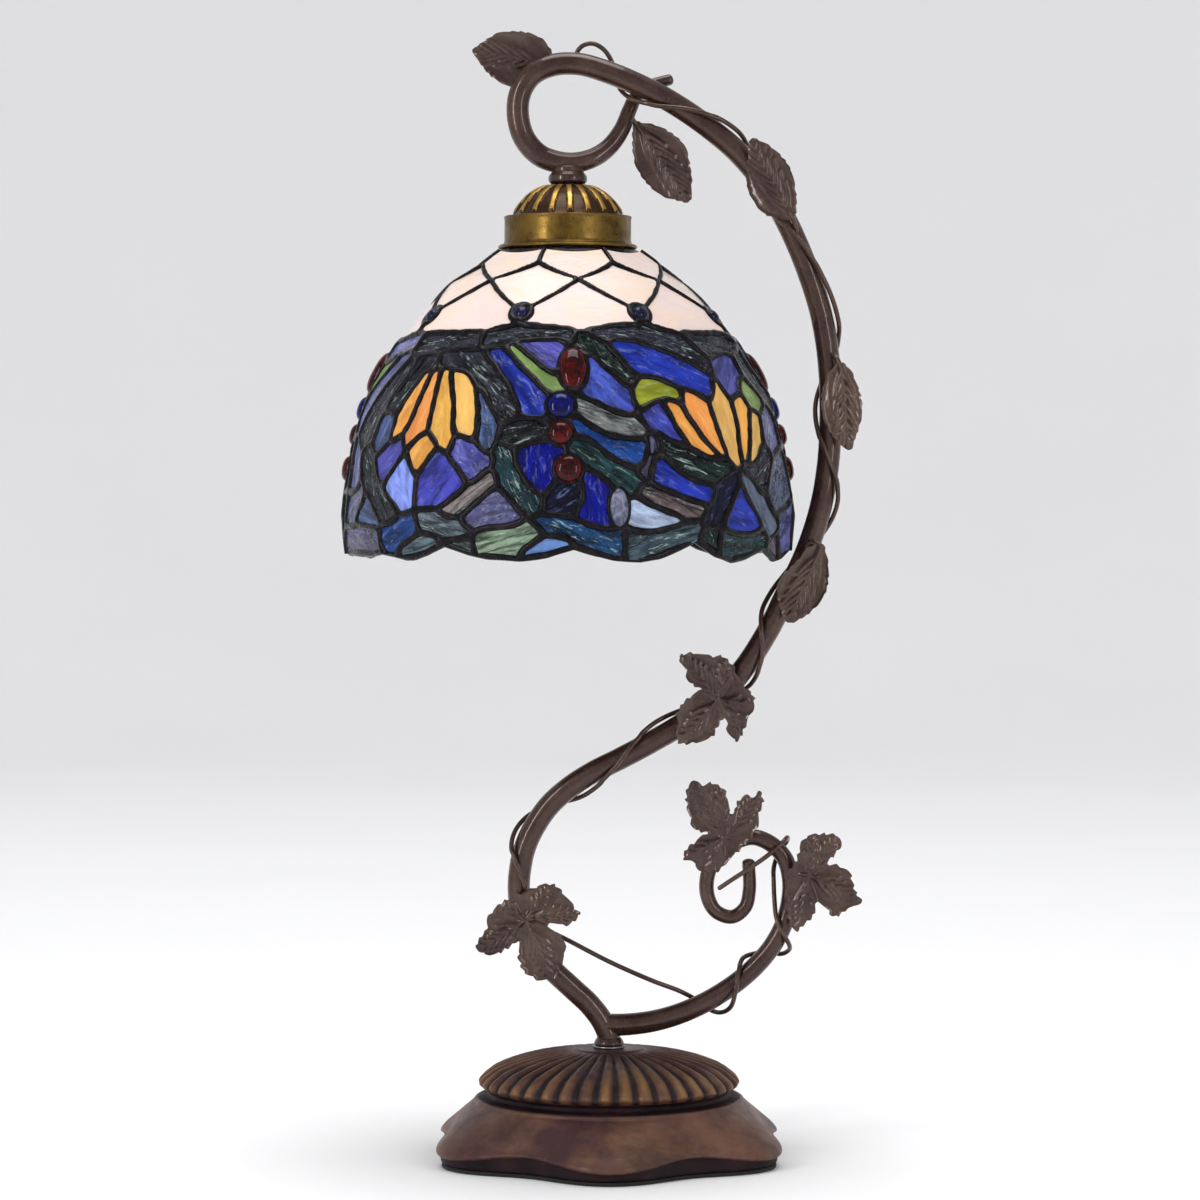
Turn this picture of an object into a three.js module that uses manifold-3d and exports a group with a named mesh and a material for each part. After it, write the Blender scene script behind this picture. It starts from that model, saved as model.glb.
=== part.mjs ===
// A stained glass table lamp: a scalloped cast base, a bent tube stand with a curled eye, a scrolled side
// branch with leaves and vine wire, and a leaded glass shade that hangs under a brass cap.
// Millimetres, +Z up. The origin is the centre of the underside of the base; the front faces -Y.
import * as THREE from "three";
import { mergeVertices } from "three/addons/utils/BufferGeometryUtils.js";
import Module from "manifold-3d";

const wasm = await Module();
wasm.setup();

// ---- driving dimensions -------------------------------------------------------------------------------
const GAP = 0.3; // clearance between pieces that touch
const TURN = 2 * Math.PI;

const BASE_RADIUS = 81.5; // mean radius of the scalloped foot
const BASE_LOBES = 6;
const LOBE_DEPTH = 5.5;
const BASE_TOP = 50.5; // top of the fluted casting
const BASE_SEGMENTS = 48;
const FELT_THICKNESS = 1.5;
const CASTING_FLOOR = FELT_THICKNESS + GAP;
const CORD_INLET_HEIGHT = 9;
const CORD_BOSS_FACE = 87.4; // the back of the casting carries a small flat boss for the bushing

const POST_RADIUS = 5.2; // the stand's tube
const POST_BORE = 3.5;
const POST_TIP_RADIUS = 2.6; // where the curled end tapers out
const POST_TAPER_LENGTH = 75;
const BRANCH_RADIUS = 5.2;
const BRANCH_TIP_RADIUS = 3.0;
const WIRE_RADIUS = 1.1; // the vine wire
const LEAD_RADIUS = 1.3; // the two-core lead inside the tube
const LEAF_THICKNESS = 0.9;

const HEAD_X = -19; // the shade's axis, under the curled eye
const EYE_BOTTOM = 459.3; // height of the tube's centreline at the bottom of the eye
const NECK_FOOT = 449.3;
const CAP_TOP = 449.0;
const CAP_FOOT = 435.0;
const BAND_TOP = 434.7;
const BAND_RADIUS = 29.4;
const FLANGE_FOOT = 419.6;
const FLANGE_RADIUS = 32;
const NIPPLE_RADIUS = 4.8;

// The dome's [radius, height] profile, from the top ring down to the rim.
const SHADE_PROFILE = [
  [31.5, 419.3], [42.5, 411.3], [53.5, 402.5], [64, 393], [74, 381], [82, 369.5], [88.7, 357.5], [94, 344],
  [98.3, 328.5], [101.5, 311], [103, 296], [102.2, 285], [100.8, 276],
];
const GLASS_OUT = 1.4; // the glass stands this far outside the dome surface
const GLASS_IN = 1.4;
const CROWN_FOOT = 381; // the cream crown meets the flower band here
const RIM_LOW = 278;
const RIM_SCALLOP = 8;
const RIM_NOTCHES = [2, 33, 60, 92]; // degrees, repeated every quarter turn
const SHADE_SEGMENTS = 32;
const SHADE_SIDES = 60; // facets round the flower band and the rim

// ---- helpers --------------------------------------------------------------------------------------------
const radians = THREE.MathUtils.degToRad;

// A closed geometry as a manifold-3d solid.
function toSolid(geometry) {
  const bare = new THREE.BufferGeometry();
  const source = geometry.index ? geometry.toNonIndexed() : geometry;
  bare.setAttribute("position", source.getAttribute("position").clone());
  const merged = mergeVertices(bare, 1e-3);
  return new wasm.Manifold(
    new wasm.Mesh({
      numProp: 3,
      vertProperties: merged.attributes.position.array,
      triVerts: new Uint32Array(merged.index.array),
    }),
  );
}

function toGeometry(solid) {
  const mesh = solid.getMesh();
  const geometry = new THREE.BufferGeometry();
  geometry.setAttribute("position", new THREE.BufferAttribute(new Float32Array(mesh.vertProperties), 3));
  geometry.setIndex(new THREE.BufferAttribute(new Uint32Array(mesh.triVerts), 1));
  return geometry;
}

function join(geometry, other) {
  return toGeometry(toSolid(geometry).add(toSolid(other)));
}

function subtract(geometry, ...tools) {
  let solid = toSolid(geometry);
  for (const tool of tools) solid = solid.subtract(toSolid(tool));
  return toGeometry(solid);
}

// A closed [radius, height] profile turned about the vertical axis. It is run round so that the faces point out.
function lathe(profile, segments) {
  const area = profile.reduce((sum, [r, z], i) => {
    const [nextR, nextZ] = profile[(i + 1) % profile.length];
    return sum + r * nextZ - nextR * z;
  }, 0);
  const ordered = area > 0 ? profile : [...profile].reverse();
  const points = ordered.map(([r, z]) => new THREE.Vector2(r, z));
  const onAxis = points[0].x === 0 && points[points.length - 1].x === 0;
  if (!onAxis) points.push(points[0].clone());
  return new THREE.LatheGeometry(points, segments).rotateX(Math.PI / 2);
}

// A ring of rectangular section.
function ring(inner, outer, low, high, segments) {
  return lathe([[inner, low], [outer, low], [outer, high], [inner, high]], segments);
}

function disc(radius, low, high, segments) {
  return lathe([[0, low], [radius, low], [radius, high], [0, high]], segments);
}

// Moves every vertex to the [radius, height] that reshape gives for its own radius, height and angle.
// The angle is in degrees, 0 at the front and 90 on the +X side.
function reshapeRound(geometry, reshape) {
  const p = geometry.getAttribute("position");
  for (let i = 0; i < p.count; i++) {
    const radius = Math.hypot(p.getX(i), p.getY(i));
    const angle = Math.atan2(p.getX(i), -p.getY(i));
    const [r, z] = reshape(radius, p.getZ(i), THREE.MathUtils.radToDeg(angle));
    p.setXYZ(i, r * Math.sin(angle), -r * Math.cos(angle), z);
  }
  return geometry;
}

function hexNut(acrossFlats, boreRadius, low, high) {
  const shape = new THREE.Shape();
  for (let i = 0; i < 6; i++) {
    const a = (TURN * i) / 6;
    const r = acrossFlats / Math.sqrt(3);
    if (i) shape.lineTo(r * Math.cos(a), r * Math.sin(a));
    else shape.moveTo(r * Math.cos(a), r * Math.sin(a));
  }
  shape.holes.push(new THREE.Path().absarc(0, 0, boreRadius, 0, TURN, true));
  return new THREE.ExtrudeGeometry(shape, { depth: high - low, bevelEnabled: false, curveSegments: 7 })
    .translate(0, 0, low);
}

// [x, z] or [x, y, z] points as one smooth curve; an [x, z] point lies in the plane of the stand.
function smoothCurve(points) {
  const vectors = points.map((p) => (p.length === 2 ? new THREE.Vector3(p[0], 0, p[1]) : new THREE.Vector3(...p)));
  return new THREE.CatmullRomCurve3(vectors, false, "centripetal");
}

// Shares of a curve's length, spaced so that the curve turns by no more than maxTurn degrees between two.
function bendStations(curve, maxTurn) {
  const samples = Math.ceil(curve.getLength() / 0.8);
  const shares = [0];
  let last = curve.getTangentAt(0);
  for (let i = 1; i < samples; i++) {
    const here = curve.getTangentAt(i / samples);
    const far = ((i / samples - shares[shares.length - 1]) * curve.getLength()) > 45;
    if (last.angleTo(here) < radians(maxTurn) && !far) continue;
    shares.push(i / samples);
    last = here;
  }
  return [...shares, 1];
}

// A round rod along a curve with flat ends. radiusAt gives its radius at a share of the length.
function rod(curve, radiusAt, maxTurn, sides) {
  const shares = bendStations(curve, maxTurn);
  const positions = [];
  const index = [];
  const normal = new THREE.Vector3(0, -1, 0);
  if (Math.abs(curve.getTangentAt(0).y) > 0.9) normal.set(1, 0, 0);
  for (const share of shares) {
    const centre = curve.getPointAt(share);
    const tangent = curve.getTangentAt(share);
    normal.addScaledVector(tangent, -normal.dot(tangent)).normalize();
    const binormal = new THREE.Vector3().crossVectors(tangent, normal);
    for (let k = 0; k < sides; k++) {
      const a = (TURN * k) / sides;
      const point = centre.clone();
      point.addScaledVector(normal, radiusAt(share) * Math.cos(a));
      point.addScaledVector(binormal, radiusAt(share) * Math.sin(a));
      positions.push(...point);
    }
  }
  const steps = shares.length - 1;
  for (let i = 0; i < steps; i++) {
    for (let k = 0; k < sides; k++) {
      const next = (k + 1) % sides;
      const [a, b, c, d] = [i * sides + k, i * sides + next, (i + 1) * sides + next, (i + 1) * sides + k];
      index.push(a, b, c, a, c, d);
    }
  }
  for (let k = 1; k < sides - 1; k++) {
    index.push(0, k + 1, k);
    index.push(steps * sides, steps * sides + k, steps * sides + k + 1);
  }
  const geometry = new THREE.BufferGeometry();
  geometry.setAttribute("position", new THREE.Float32BufferAttribute(positions, 3));
  geometry.setIndex(index);
  return geometry;
}

// The share of a curve's length at which it passes nearest to a point of the stand's plane.
function nearestShare(curve, x, z) {
  const target = new THREE.Vector3(x, 0, z);
  const samples = 600;
  let best = 0;
  for (let i = 0; i <= samples; i++) {
    const here = curve.getPointAt(i / samples).distanceTo(target);
    if (here < curve.getPointAt(best).distanceTo(target)) best = i / samples;
  }
  return best;
}

// Points that wind round a curve. Each station is [x, z, turns]: there the winding has made that many turns,
// whole ones being at the front. Between stations it turns evenly.
function winding(curve, stations, radius, stepLength) {
  const points = [];
  for (let k = 1; k < stations.length; k++) {
    const [from, to] = [stations[k - 1], stations[k]].map(([x, z, turns]) => [nearestShare(curve, x, z), turns]);
    const steps = Math.max(2, Math.round((Math.abs(to[0] - from[0]) * curve.getLength()) / stepLength));
    for (let i = k === 1 ? 0 : 1; i <= steps; i++) {
      const share = THREE.MathUtils.lerp(from[0], to[0], i / steps);
      const angle = TURN * THREE.MathUtils.lerp(from[1], to[1], i / steps);
      const front = new THREE.Vector3(0, -1, 0);
      const side = new THREE.Vector3().crossVectors(curve.getTangentAt(share), front).normalize();
      const point = curve.getPointAt(share);
      point.addScaledVector(front, radius * Math.cos(angle)).addScaledVector(side, radius * Math.sin(angle));
      points.push(point.toArray());
    }
  }
  return points;
}

// ---- materials --------------------------------------------------------------------------------------------
function material(color, roughness, metalness) {
  return new THREE.MeshStandardMaterial({ color, roughness, metalness });
}
const BRONZE_PAINT = material(0x3b2b27, 0.35, 0.6);
const CAST_BRONZE = material(0x55392f, 0.45, 0.5);
const BRASS = material(0x7a5c22, 0.35, 0.9);
const STEEL = material(0x9a9a9c, 0.35, 1.0);
const IRON = material(0x3a3a3c, 0.7, 0.6);
const FELT = material(0x1c1c1c, 1.0, 0.0);
const RUBBER = material(0x151515, 0.8, 0.0);
const INSULATION = material(0x3a2a1c, 0.6, 0.0);
const PHENOLIC = material(0x1a1614, 0.4, 0.0);
const CREAM_GLASS = material(0xf2dfd8, 0.15, 0.0);
const BLUE_GLASS = material(0x2a3fb0, 0.15, 0.0);
const RED_JEWEL = material(0x6a0c10, 0.05, 0.0);
const BLUE_JEWEL = material(0x10186a, 0.05, 0.0);
const CAME = material(0x1d191c, 0.4, 0.7);
const BULB_GLASS = material(0xf6f4ee, 0.2, 0.0);

const lamp = new THREE.Group();
const head = new THREE.Group(); // the cap, socket and shade, built round their own vertical axis
head.position.x = HEAD_X;
lamp.add(head);

function add(parent, name, geometry, look) {
  const mesh = new THREE.Mesh(geometry, look);
  mesh.name = name;
  parent.add(mesh);
  return mesh;
}

// ---- base ---------------------------------------------------------------------------------------------------
function lobe(angle) {
  return Math.cos(radians(BASE_LOBES * angle));
}

// The casting: a scalloped skirt, a waist, and a fluted cushion that rises to a flat seat for the stand.
function castingGeometry() {
  const lipLow = 6.5;
  const skirt = [
    [BASE_RADIUS - 2.2, CASTING_FLOOR],
    [BASE_RADIUS - 1.5, lipLow],
    [BASE_RADIUS, lipLow + 2.5],
    [BASE_RADIUS - 3, 13],
    [70.5, 21],
    [62.5, 27.6],
    [58, 28.6],
    [57.2, 31],
  ];
  const cushion = [
    [59.8, 32.6],
    [59.2, 36],
    [53, 41.2],
    [38, 46.2],
    [17, 49.6],
    [14.5, BASE_TOP],
  ];
  const outer = lathe([[0, CASTING_FLOOR], ...skirt, ...cushion, [0, BASE_TOP]], BASE_SEGMENTS);
  reshapeRound(outer, (r, z, angle) => {
    const skirtShare = THREE.MathUtils.clamp((28 - z) / 18, 0, 1) * Math.min(1, r / 40);
    const lipRise = z > CASTING_FLOOR + 1 && z < 12 ? -2 * lobe(angle) * Math.min(1, r / 40) : 0;
    return [r + LOBE_DEPTH * skirtShare * lobe(angle), z + lipRise];
  });
  const cavity = lathe(
    [[0, 0], [71, 0], [71, 12], [64, 20], [53, 27], [51, 36], [30, 42], [0, 43.5]],
    24,
  );
  const postHole = disc(POST_RADIUS + GAP, 40, BASE_TOP + 5, 12);
  const boss = new THREE.CylinderGeometry(7, 7, 17, 16).translate(0, CORD_BOSS_FACE - 8.5, CORD_INLET_HEIGHT);
  const inletHole = new THREE.CylinderGeometry(4.8, 4.8, 40, 12).translate(0, 75, CORD_INLET_HEIGHT);
  return subtract(join(outer, boss), cavity, postHole, inletHole);
}

function feltGeometry() {
  const pad = disc(BASE_RADIUS - 3, 0, FELT_THICKNESS, BASE_SEGMENTS);
  return reshapeRound(pad, (r, z, angle) => [r + (r > 40 ? LOBE_DEPTH * lobe(angle) : 0), z]);
}

// A grommet in the back of the skirt, where a mains lead would come in.
function bushingGeometry() {
  const face = CORD_BOSS_FACE + GAP;
  const bore = 3.3;
  const profile = [
    [bore, 67], [4.5, 67], [4.5, face], [6.4, face], [6.4, face + 1], [5.6, face + 2.2], [bore, face + 2.2],
  ];
  return lathe(profile, 14).rotateX(-Math.PI / 2).translate(0, 0, CORD_INLET_HEIGHT);
}

function addBase() {
  const bore = POST_RADIUS + GAP;
  add(lamp, "base_casting", castingGeometry(), CAST_BRONZE);
  add(lamp, "felt_pad", feltGeometry(), FELT);
  add(lamp, "ballast_weight", ring(16, 50, CASTING_FLOOR, 17, 24), IRON);
  add(lamp, "base_washer", ring(bore, 11, 41.0, 42.2, 14), STEEL);
  add(lamp, "base_nut", hexNut(17, bore, 35.5, 40.7), STEEL);
  add(lamp, "foot_washer", ring(bore, 7.3, BASE_TOP + GAP, BASE_TOP + 1.0, 20), BRASS);
  const collar = [[bore, 51.8], [6.8, 51.8], [6.8, 53.2], [5.9, 54.6], [bore, 54.6]];
  add(lamp, "foot_collar", lathe(collar, 20), BRONZE_PAINT);
  add(lamp, "cord_bushing", bushingGeometry(), RUBBER);
}

// ---- stand ----------------------------------------------------------------------------------------------------
// The tube rises from the base, swings left and back across to the right, arches over, and curls into an eye
// whose tapered end passes behind the arch.
const postPoints = [
  [0, 33], [0, 45], [0, 55], [-3, 62.5], [-9, 70.5], [-17, 78], [-27, 87.5], [-35, 98], [-40, 110], [-41.7, 122],
  [-41.3, 132], [-39, 143], [-34.5, 153], [-27.5, 163], [-18, 171.5], [-7, 178.5], [5, 184.5], [20, 192.5],
  [36, 202], [50, 213], [62, 226], [73, 243], [82, 261], [91, 280], [97.5, 300], [101, 320], [102.2, 342],
  [101.5, 366], [98, 389], [91.5, 410], [82.5, 431], [72, 449], [60, 463.5], [46, 475.5], [30, 486.5],
  [14, 495], [-2, 501.5], [-14, 504.7], [-26, 504.2], [-36, 499.3], [-41.2, 490.5], [-41.8, 480], [-38.6, 470],
  [-31, 462.3], [HEAD_X, EYE_BOTTOM], [-8, 1.5, 461.5], [0, 4, 467], [6, 6.5, 475.5], [9.3, 9, 484],
  [12.5, 10, 490.5], [19, 10, 495.5], [28, 10, 498.5],
];
const postCurve = smoothCurve(postPoints);
const eyeIndex = postPoints.findIndex(([x, z]) => x === HEAD_X && z === EYE_BOTTOM);
const postLength = postCurve.getLength();

function postRadiusAt(u) {
  const left = (1 - u) * postLength;
  const swell = POST_RADIUS - POST_TIP_RADIUS;
  return POST_TIP_RADIUS + swell * Math.min(1, left / POST_TAPER_LENGTH);
}

// The branch leaves the foot of the tube to the right and scrolls up into a hook.
const branchCurve = smoothCurve([
  [-2, 61], [8, 61.2], [20, 62.7], [32, 66], [44, 71.2], [56, 78.5], [67, 87.5], [75.5, 97.5], [81, 108],
  [83.8, 119], [84, 129], [81.5, 138], [75, 145], [66.5, 148.2], [57.5, 145.5], [50, 139.5], [45.8, 131],
  [45.6, 121], [49.5, 113.8], [57, 111.2], [63, 115.5], [65, 123.5], [64.6, 136.5],
]);

function branchRadiusAt(u) {
  return BRANCH_RADIUS + (BRANCH_TIP_RADIUS - BRANCH_RADIUS) * u;
}

// The bore ends just past the bottom of the eye, where a hole lets the lead out downwards.
function postGeometry() {
  const outer = rod(postCurve, postRadiusAt, 12, 8);
  const bore = rod(smoothCurve([[0, 20], ...postPoints.slice(0, eyeIndex + 2)]), () => POST_BORE, 15, 6);
  const outlet = disc(2.8, EYE_BOTTOM - 8, EYE_BOTTOM, 8).translate(HEAD_X, 0, 0);
  return subtract(outer, bore, outlet);
}

function branchGeometry() {
  const foot = smoothCurve(postPoints.slice(1, 7));
  return subtract(rod(branchCurve, branchRadiusAt, 13, 8), rod(foot, () => POST_RADIUS + GAP + 0.1, 10, 16));
}

// The lead runs from the bushing across the base, up the tube, round the eye and down the nipple.
function leadGeometry() {
  const inBase = [[0, 64, CORD_INLET_HEIGHT], [0, 57, 16], [0, 44, 21.5], [0, 24, 23], [0, 8, 25], [0, 1, 31]];
  const inHead = [[HEAD_X - 2.2, 458.8], [HEAD_X - 0.4, 455.5], [HEAD_X, 450], [HEAD_X, 403]];
  const curve = smoothCurve([...inBase, ...postPoints.slice(1, eyeIndex), ...inHead]);
  return rod(curve, () => LEAD_RADIUS, 18, 5);
}

// Neck between the eye and the cap, saddled over the tube and bored for the nipple.
function neckGeometry() {
  const bore = NIPPLE_RADIUS + GAP;
  const profile = [
    [bore, NECK_FOOT], [7.2, NECK_FOOT], [8.7, 451.2], [8.7, 453.4], [7.4, 455.2], [7.0, 457.5], [bore, 457.5],
  ];
  const blank = lathe(profile, 20).translate(HEAD_X, 0, 0);
  const eye = smoothCurve(postPoints.slice(eyeIndex - 2, eyeIndex + 3));
  return subtract(blank, rod(eye, () => POST_RADIUS + GAP + 0.1, 8, 16));
}

// ---- vine wires -------------------------------------------------------------------------------------------------
const windRadius = POST_RADIUS + WIRE_RADIUS + 0.8;

function addVines() {
  const tendril = [[-15, 7.6, 504], [-15.2, 7.2, 509.5], [-12.8, 6.6, 513.3], [-8, 6.3, 514.8], [-3, 6.5, 512.5],
    [0.8, 7, 507.5], [3.2, 7.6, 500.5], [5, 5.8, 494]];
  const upper = winding(postCurve, [
    [12, 496, -0.27], [34, 484.3, 0], [55, 468, 0.25], [65, 457.5, 0.5], [72, 449, 0.75], [84, 427.5, 1],
    [99, 385, 1.25], [101.8, 366, 1.5], [102, 345, 1.75], [101, 322, 2], [99, 303, 2.25], [91, 280, 2.5],
    [78, 252.5, 2.75], [71, 239, 3], [60, 223.5, 3.25], [56, 218.8, 3.36],
  ], windRadius, 7);
  add(lamp, "vine_wire_upper", rod(smoothCurve([...tendril, ...upper]), () => WIRE_RADIUS, 13, 5), BRONZE_PAINT);
  const middle = winding(postCurve, [
    [48, 211, 3.5], [26, 196, 3.75], [6, 185.2, 4], [-14, 174, 4.25], [-28, 162, 4.5], [-38, 147, 4.75],
    [-41.2, 134, 5], [-41.7, 123, 5.1],
  ], windRadius, 7);
  add(lamp, "vine_wire_middle", rod(smoothCurve(middle), () => WIRE_RADIUS, 13, 5), BRONZE_PAINT);
  const lower = smoothCurve([
    [-29, 2.5, 104.8], [-21, 3, 101], [0, 2, 90.2], [20, 3, 81.2], [33, 5.2, 76], [41, 7.4, 71.5], [47.5, 6, 67],
    [52.5, 0, 66.9], [56.5, -5.5, 70.5], [58.5, -7.4, 78], [59.8, -5.2, 86], [61.9, 0, 91.8], [67.5, 5.2, 93.5],
    [74, 7.4, 94], [80, 5.2, 93.4], [83.6, 0, 96.2], [82.7, -5, 100], [80, -6.8, 104.5], [77.4, -4, 111],
    [76.6, -1, 119], [76.3, 0.5, 127], [76.5, 3.5, 134], [79, 6.2, 140.5], [82.6, 5, 146], [82.5, 0.5, 148],
    [80, -4.2, 146], [75, -5.8, 141.6], [66, -5.2, 135], [57, -4.4, 129], [51.2, -3.6, 125],
  ]);
  add(lamp, "vine_wire_lower", rod(lower, () => WIRE_RADIUS, 13, 5), BRONZE_PAINT);
}

// ---- leaves ---------------------------------------------------------------------------------------------------------
// A flat plate of the given outline, upright and facing front, with its back at depth y.
function plate(shape, y) {
  return new THREE.ExtrudeGeometry(shape, { depth: LEAF_THICKNESS, bevelEnabled: false, curveSegments: 4 })
    .rotateX(Math.PI / 2)
    .translate(0, y, 0);
}

// A pointed oval leaf from its stalk end to its tip, both [x, z].
function ovalLeaf(stalk, tip, width) {
  const from = new THREE.Vector2(...stalk);
  const along = new THREE.Vector2(...tip).sub(from);
  const across = new THREE.Vector2(-along.y, along.x).normalize();
  const stations = 7;
  const edge = (side) => Array.from({ length: stations - 1 }, (_, i) => {
    const t = (i + 1) / stations;
    const half = (width / 2) * Math.sin(Math.PI * t ** 0.85) ** 0.8;
    return from.clone().addScaledVector(along, t).addScaledVector(across, side * half);
  });
  return new THREE.Shape([from.clone(), ...edge(-1), from.clone().add(along), ...edge(1).reverse()]);
}

// Outlines of the three-lobed vine leaves as [x, z], from the notch above the stalk round to the other side.
const VINE_LEAVES = {
  vine_leaf_middle: [
    [43, 216], [37, 220], [34, 227], [32, 232.5], [45, 233.5], [55, 231], [62, 219], [67, 210.5], [63.5, 201],
    [58.5, 193], [54.5, 198], [53, 204], [47, 195.5], [32, 192.5], [31, 201], [36, 213],
  ],
  vine_leaf_foot: [
    [-40, 124], [-32, 127], [-24, 126], [-17, 118.5], [-13.5, 114], [-20, 108.5], [-29, 109], [-21.5, 102],
    [-20, 95], [-25, 84], [-34, 83.5], [-41, 90], [-42.3, 100.5], [-48, 96.5], [-60, 95.5], [-61, 101],
    [-56, 110], [-51, 118],
  ],
  vine_leaf_hook: [
    [44, 150], [37.5, 157], [35.5, 166], [38, 175], [48, 174], [54.5, 169], [56, 160.5], [62, 168],
    [69, 170.5], [71, 166.5], [67.5, 152], [58, 141], [48, 132.5], [39.5, 135.5], [34, 139.5], [37, 145.5],
  ],
  vine_leaf_scroll: [
    [86, 139], [90, 149], [97, 150.8], [106, 149.5], [106.5, 143.5], [100, 137], [110, 134], [114, 124],
    [116.5, 119.5], [108, 114], [103, 112.5], [96.5, 119.5], [94, 112], [87, 105], [82.5, 111], [81, 124],
    [83, 133],
  ],
};

function addLeaves() {
  const front = -(windRadius + WIRE_RADIUS + GAP); // back face of a leaf that lies in front of the tube and its wire
  const ovals = {
    leaf_crown: [[-30, 503.5], [-63, 511.5], 27, POST_RADIUS + GAP + 0.3 + LEAF_THICKNESS],
    leaf_eye: [[12.2, 479], [37.8, 442.3], 25, 10],
    leaf_right_upper: [[84.5, 432.5], [64.5, 470], 21, front],
    leaf_right_middle: [[105.5, 368], [110.5, 326.5], 19.5, front],
    leaf_right_lower: [[98.5, 284.5], [82.5, 248], 22, front],
  };
  for (const [name, [stalk, tip, width, y]] of Object.entries(ovals)) {
    add(lamp, name, plate(ovalLeaf(stalk, tip, width), y), BRONZE_PAINT);
  }
  for (const [name, outline] of Object.entries(VINE_LEAVES)) {
    const shape = new THREE.Shape(outline.map(([x, z]) => new THREE.Vector2(x, z)));
    add(lamp, name, plate(shape, front), BRONZE_PAINT);
  }
}

function addStand() {
  add(lamp, "main_post", postGeometry(), BRONZE_PAINT);
  add(lamp, "scroll_branch", branchGeometry(), BRONZE_PAINT);
  add(lamp, "lead_wire", leadGeometry(), INSULATION);
  add(lamp, "neck_coupling", neckGeometry(), BRONZE_PAINT);
  const nipple = ring(3.1, NIPPLE_RADIUS, 404, 454.2, 14).translate(HEAD_X, 0, 0);
  add(lamp, "threaded_nipple", nipple, STEEL);
  addVines();
  addLeaves();
}

// ---- cap, fitter and socket ---------------------------------------------------------------------------------------
function spiderGeometry() {
  const [hub, armWidth, reach] = [10, 7, 28.1];
  const shape = new THREE.Shape();
  const half = Math.asin(armWidth / 2 / hub);
  const tipHalf = Math.asin(armWidth / 2 / reach);
  for (let i = 0; i < 3; i++) {
    const a = (TURN * i) / 3 + Math.PI / 2;
    const corners = [[hub, a - half], [reach, a - tipHalf], [reach, a + tipHalf], [hub, a + half],
      [hub, a + Math.PI / 3]];
    corners.forEach(([r, t], k) => {
      if (i || k) shape.lineTo(r * Math.cos(t), r * Math.sin(t));
      else shape.moveTo(r * Math.cos(t), r * Math.sin(t));
    });
  }
  shape.holes.push(new THREE.Path().absarc(0, 0, NIPPLE_RADIUS + GAP, 0, TURN, true));
  return new THREE.ExtrudeGeometry(shape, { depth: 1.5, bevelEnabled: false, curveSegments: 7 })
    .translate(0, 0, 416.6);
}

function addCap() {
  const bore = NIPPLE_RADIUS + GAP;
  const dome = [
    [bore, CAP_TOP], [9, CAP_TOP], [15, 446.3], [21, 441.8], [24.6, 437.4], [25.6, CAP_FOOT],
    [24.4, CAP_FOOT], [23.4, 437], [20.2, 440.9], [14.4, 445.2], [8.8, 447.8], [bore, 447.8],
  ];
  add(head, "cap_dome", lathe(dome, 28), BRASS);
  const band = [
    [22, BAND_TOP], [BAND_RADIUS, BAND_TOP], [BAND_RADIUS, 421.6], [FLANGE_RADIUS, 421.2],
    [FLANGE_RADIUS, FLANGE_FOOT], [28, FLANGE_FOOT], [28, 433.5], [22, 433.5],
  ];
  add(head, "fitter_band", lathe(band, 28), BRASS);
  add(head, "shade_spider", spiderGeometry(), BRASS);
  add(head, "head_washer", ring(bore, 9.5, 415.2, 416.3, 14), STEEL);
  add(head, "head_lock_nut", hexNut(14.5, bore, 410.8, 414.9), STEEL);
}

function addSocket() {
  const bore = NIPPLE_RADIUS + GAP;
  const socketCap = [
    [bore, 410.5], [7.5, 410.5], [8, 405], [17.9, 398.5], [17.9, 391], [17.0, 391], [17.0, 398], [7, 404],
    [bore, 404],
  ];
  add(head, "socket_cap", lathe(socketCap, 20), BRASS);
  const housing = [
    [14.3, 353], [16.6, 353], [16.6, 397.2], [14, 397.2], [14, 388.5], [2.2, 388.5], [2.2, 384.5], [14.3, 384.5],
  ];
  add(head, "socket_housing", lathe(housing, 20), PHENOLIC);
  add(head, "screw_shell", ring(13.0, 14.0, 356, 384.2, 20), BRASS);
  add(head, "centre_contact", disc(3.5, 383.2, 384.2, 10), BRASS);
}

// ---- bulb -------------------------------------------------------------------------------------------------------------
function addBulb() {
  const screwBase = [
    [0, 380], [7.1, 380], [11.6, 376.4], [11.6, 357.5], [12.6, 357.5], [12.6, 377], [7.5, 381], [0, 381],
  ];
  add(head, "bulb_screw_base", lathe(screwBase, 20), BRASS);
  add(head, "bulb_tip_contact", disc(3.2, 381.3, 382.7, 10), STEEL);
  const centre = 334;
  const globe = 22.5;
  const wall = 0.9;
  const arc = (radius, steps) => Array.from({ length: steps + 1 }, (_, i) => {
    const a = radians(-90 + (145 * i) / steps);
    return [i ? radius * Math.cos(a) : 0, centre + radius * Math.sin(a)];
  });
  const outside = [...arc(globe, 7), [11.1, 357], [11.1, 370]];
  const inside = [...arc(globe - wall, 7), [10.2, 357], [10.2, 370]];
  add(head, "bulb_glass", lathe([...outside, ...inside.reverse()], 16), BULB_GLASS);
}

// ---- shade ------------------------------------------------------------------------------------------------------------
// The radius of the dome surface at a height.
function shadeRadius(z) {
  const k = SHADE_PROFILE.findIndex(([, height]) => height <= z);
  const [[r0, z0], [r1, z1]] = SHADE_PROFILE.slice(k < 1 ? 0 : k - 1, k < 1 ? 2 : k + 1);
  return r0 + ((r1 - r0) * (z - z0)) / (z1 - z0);
}

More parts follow.
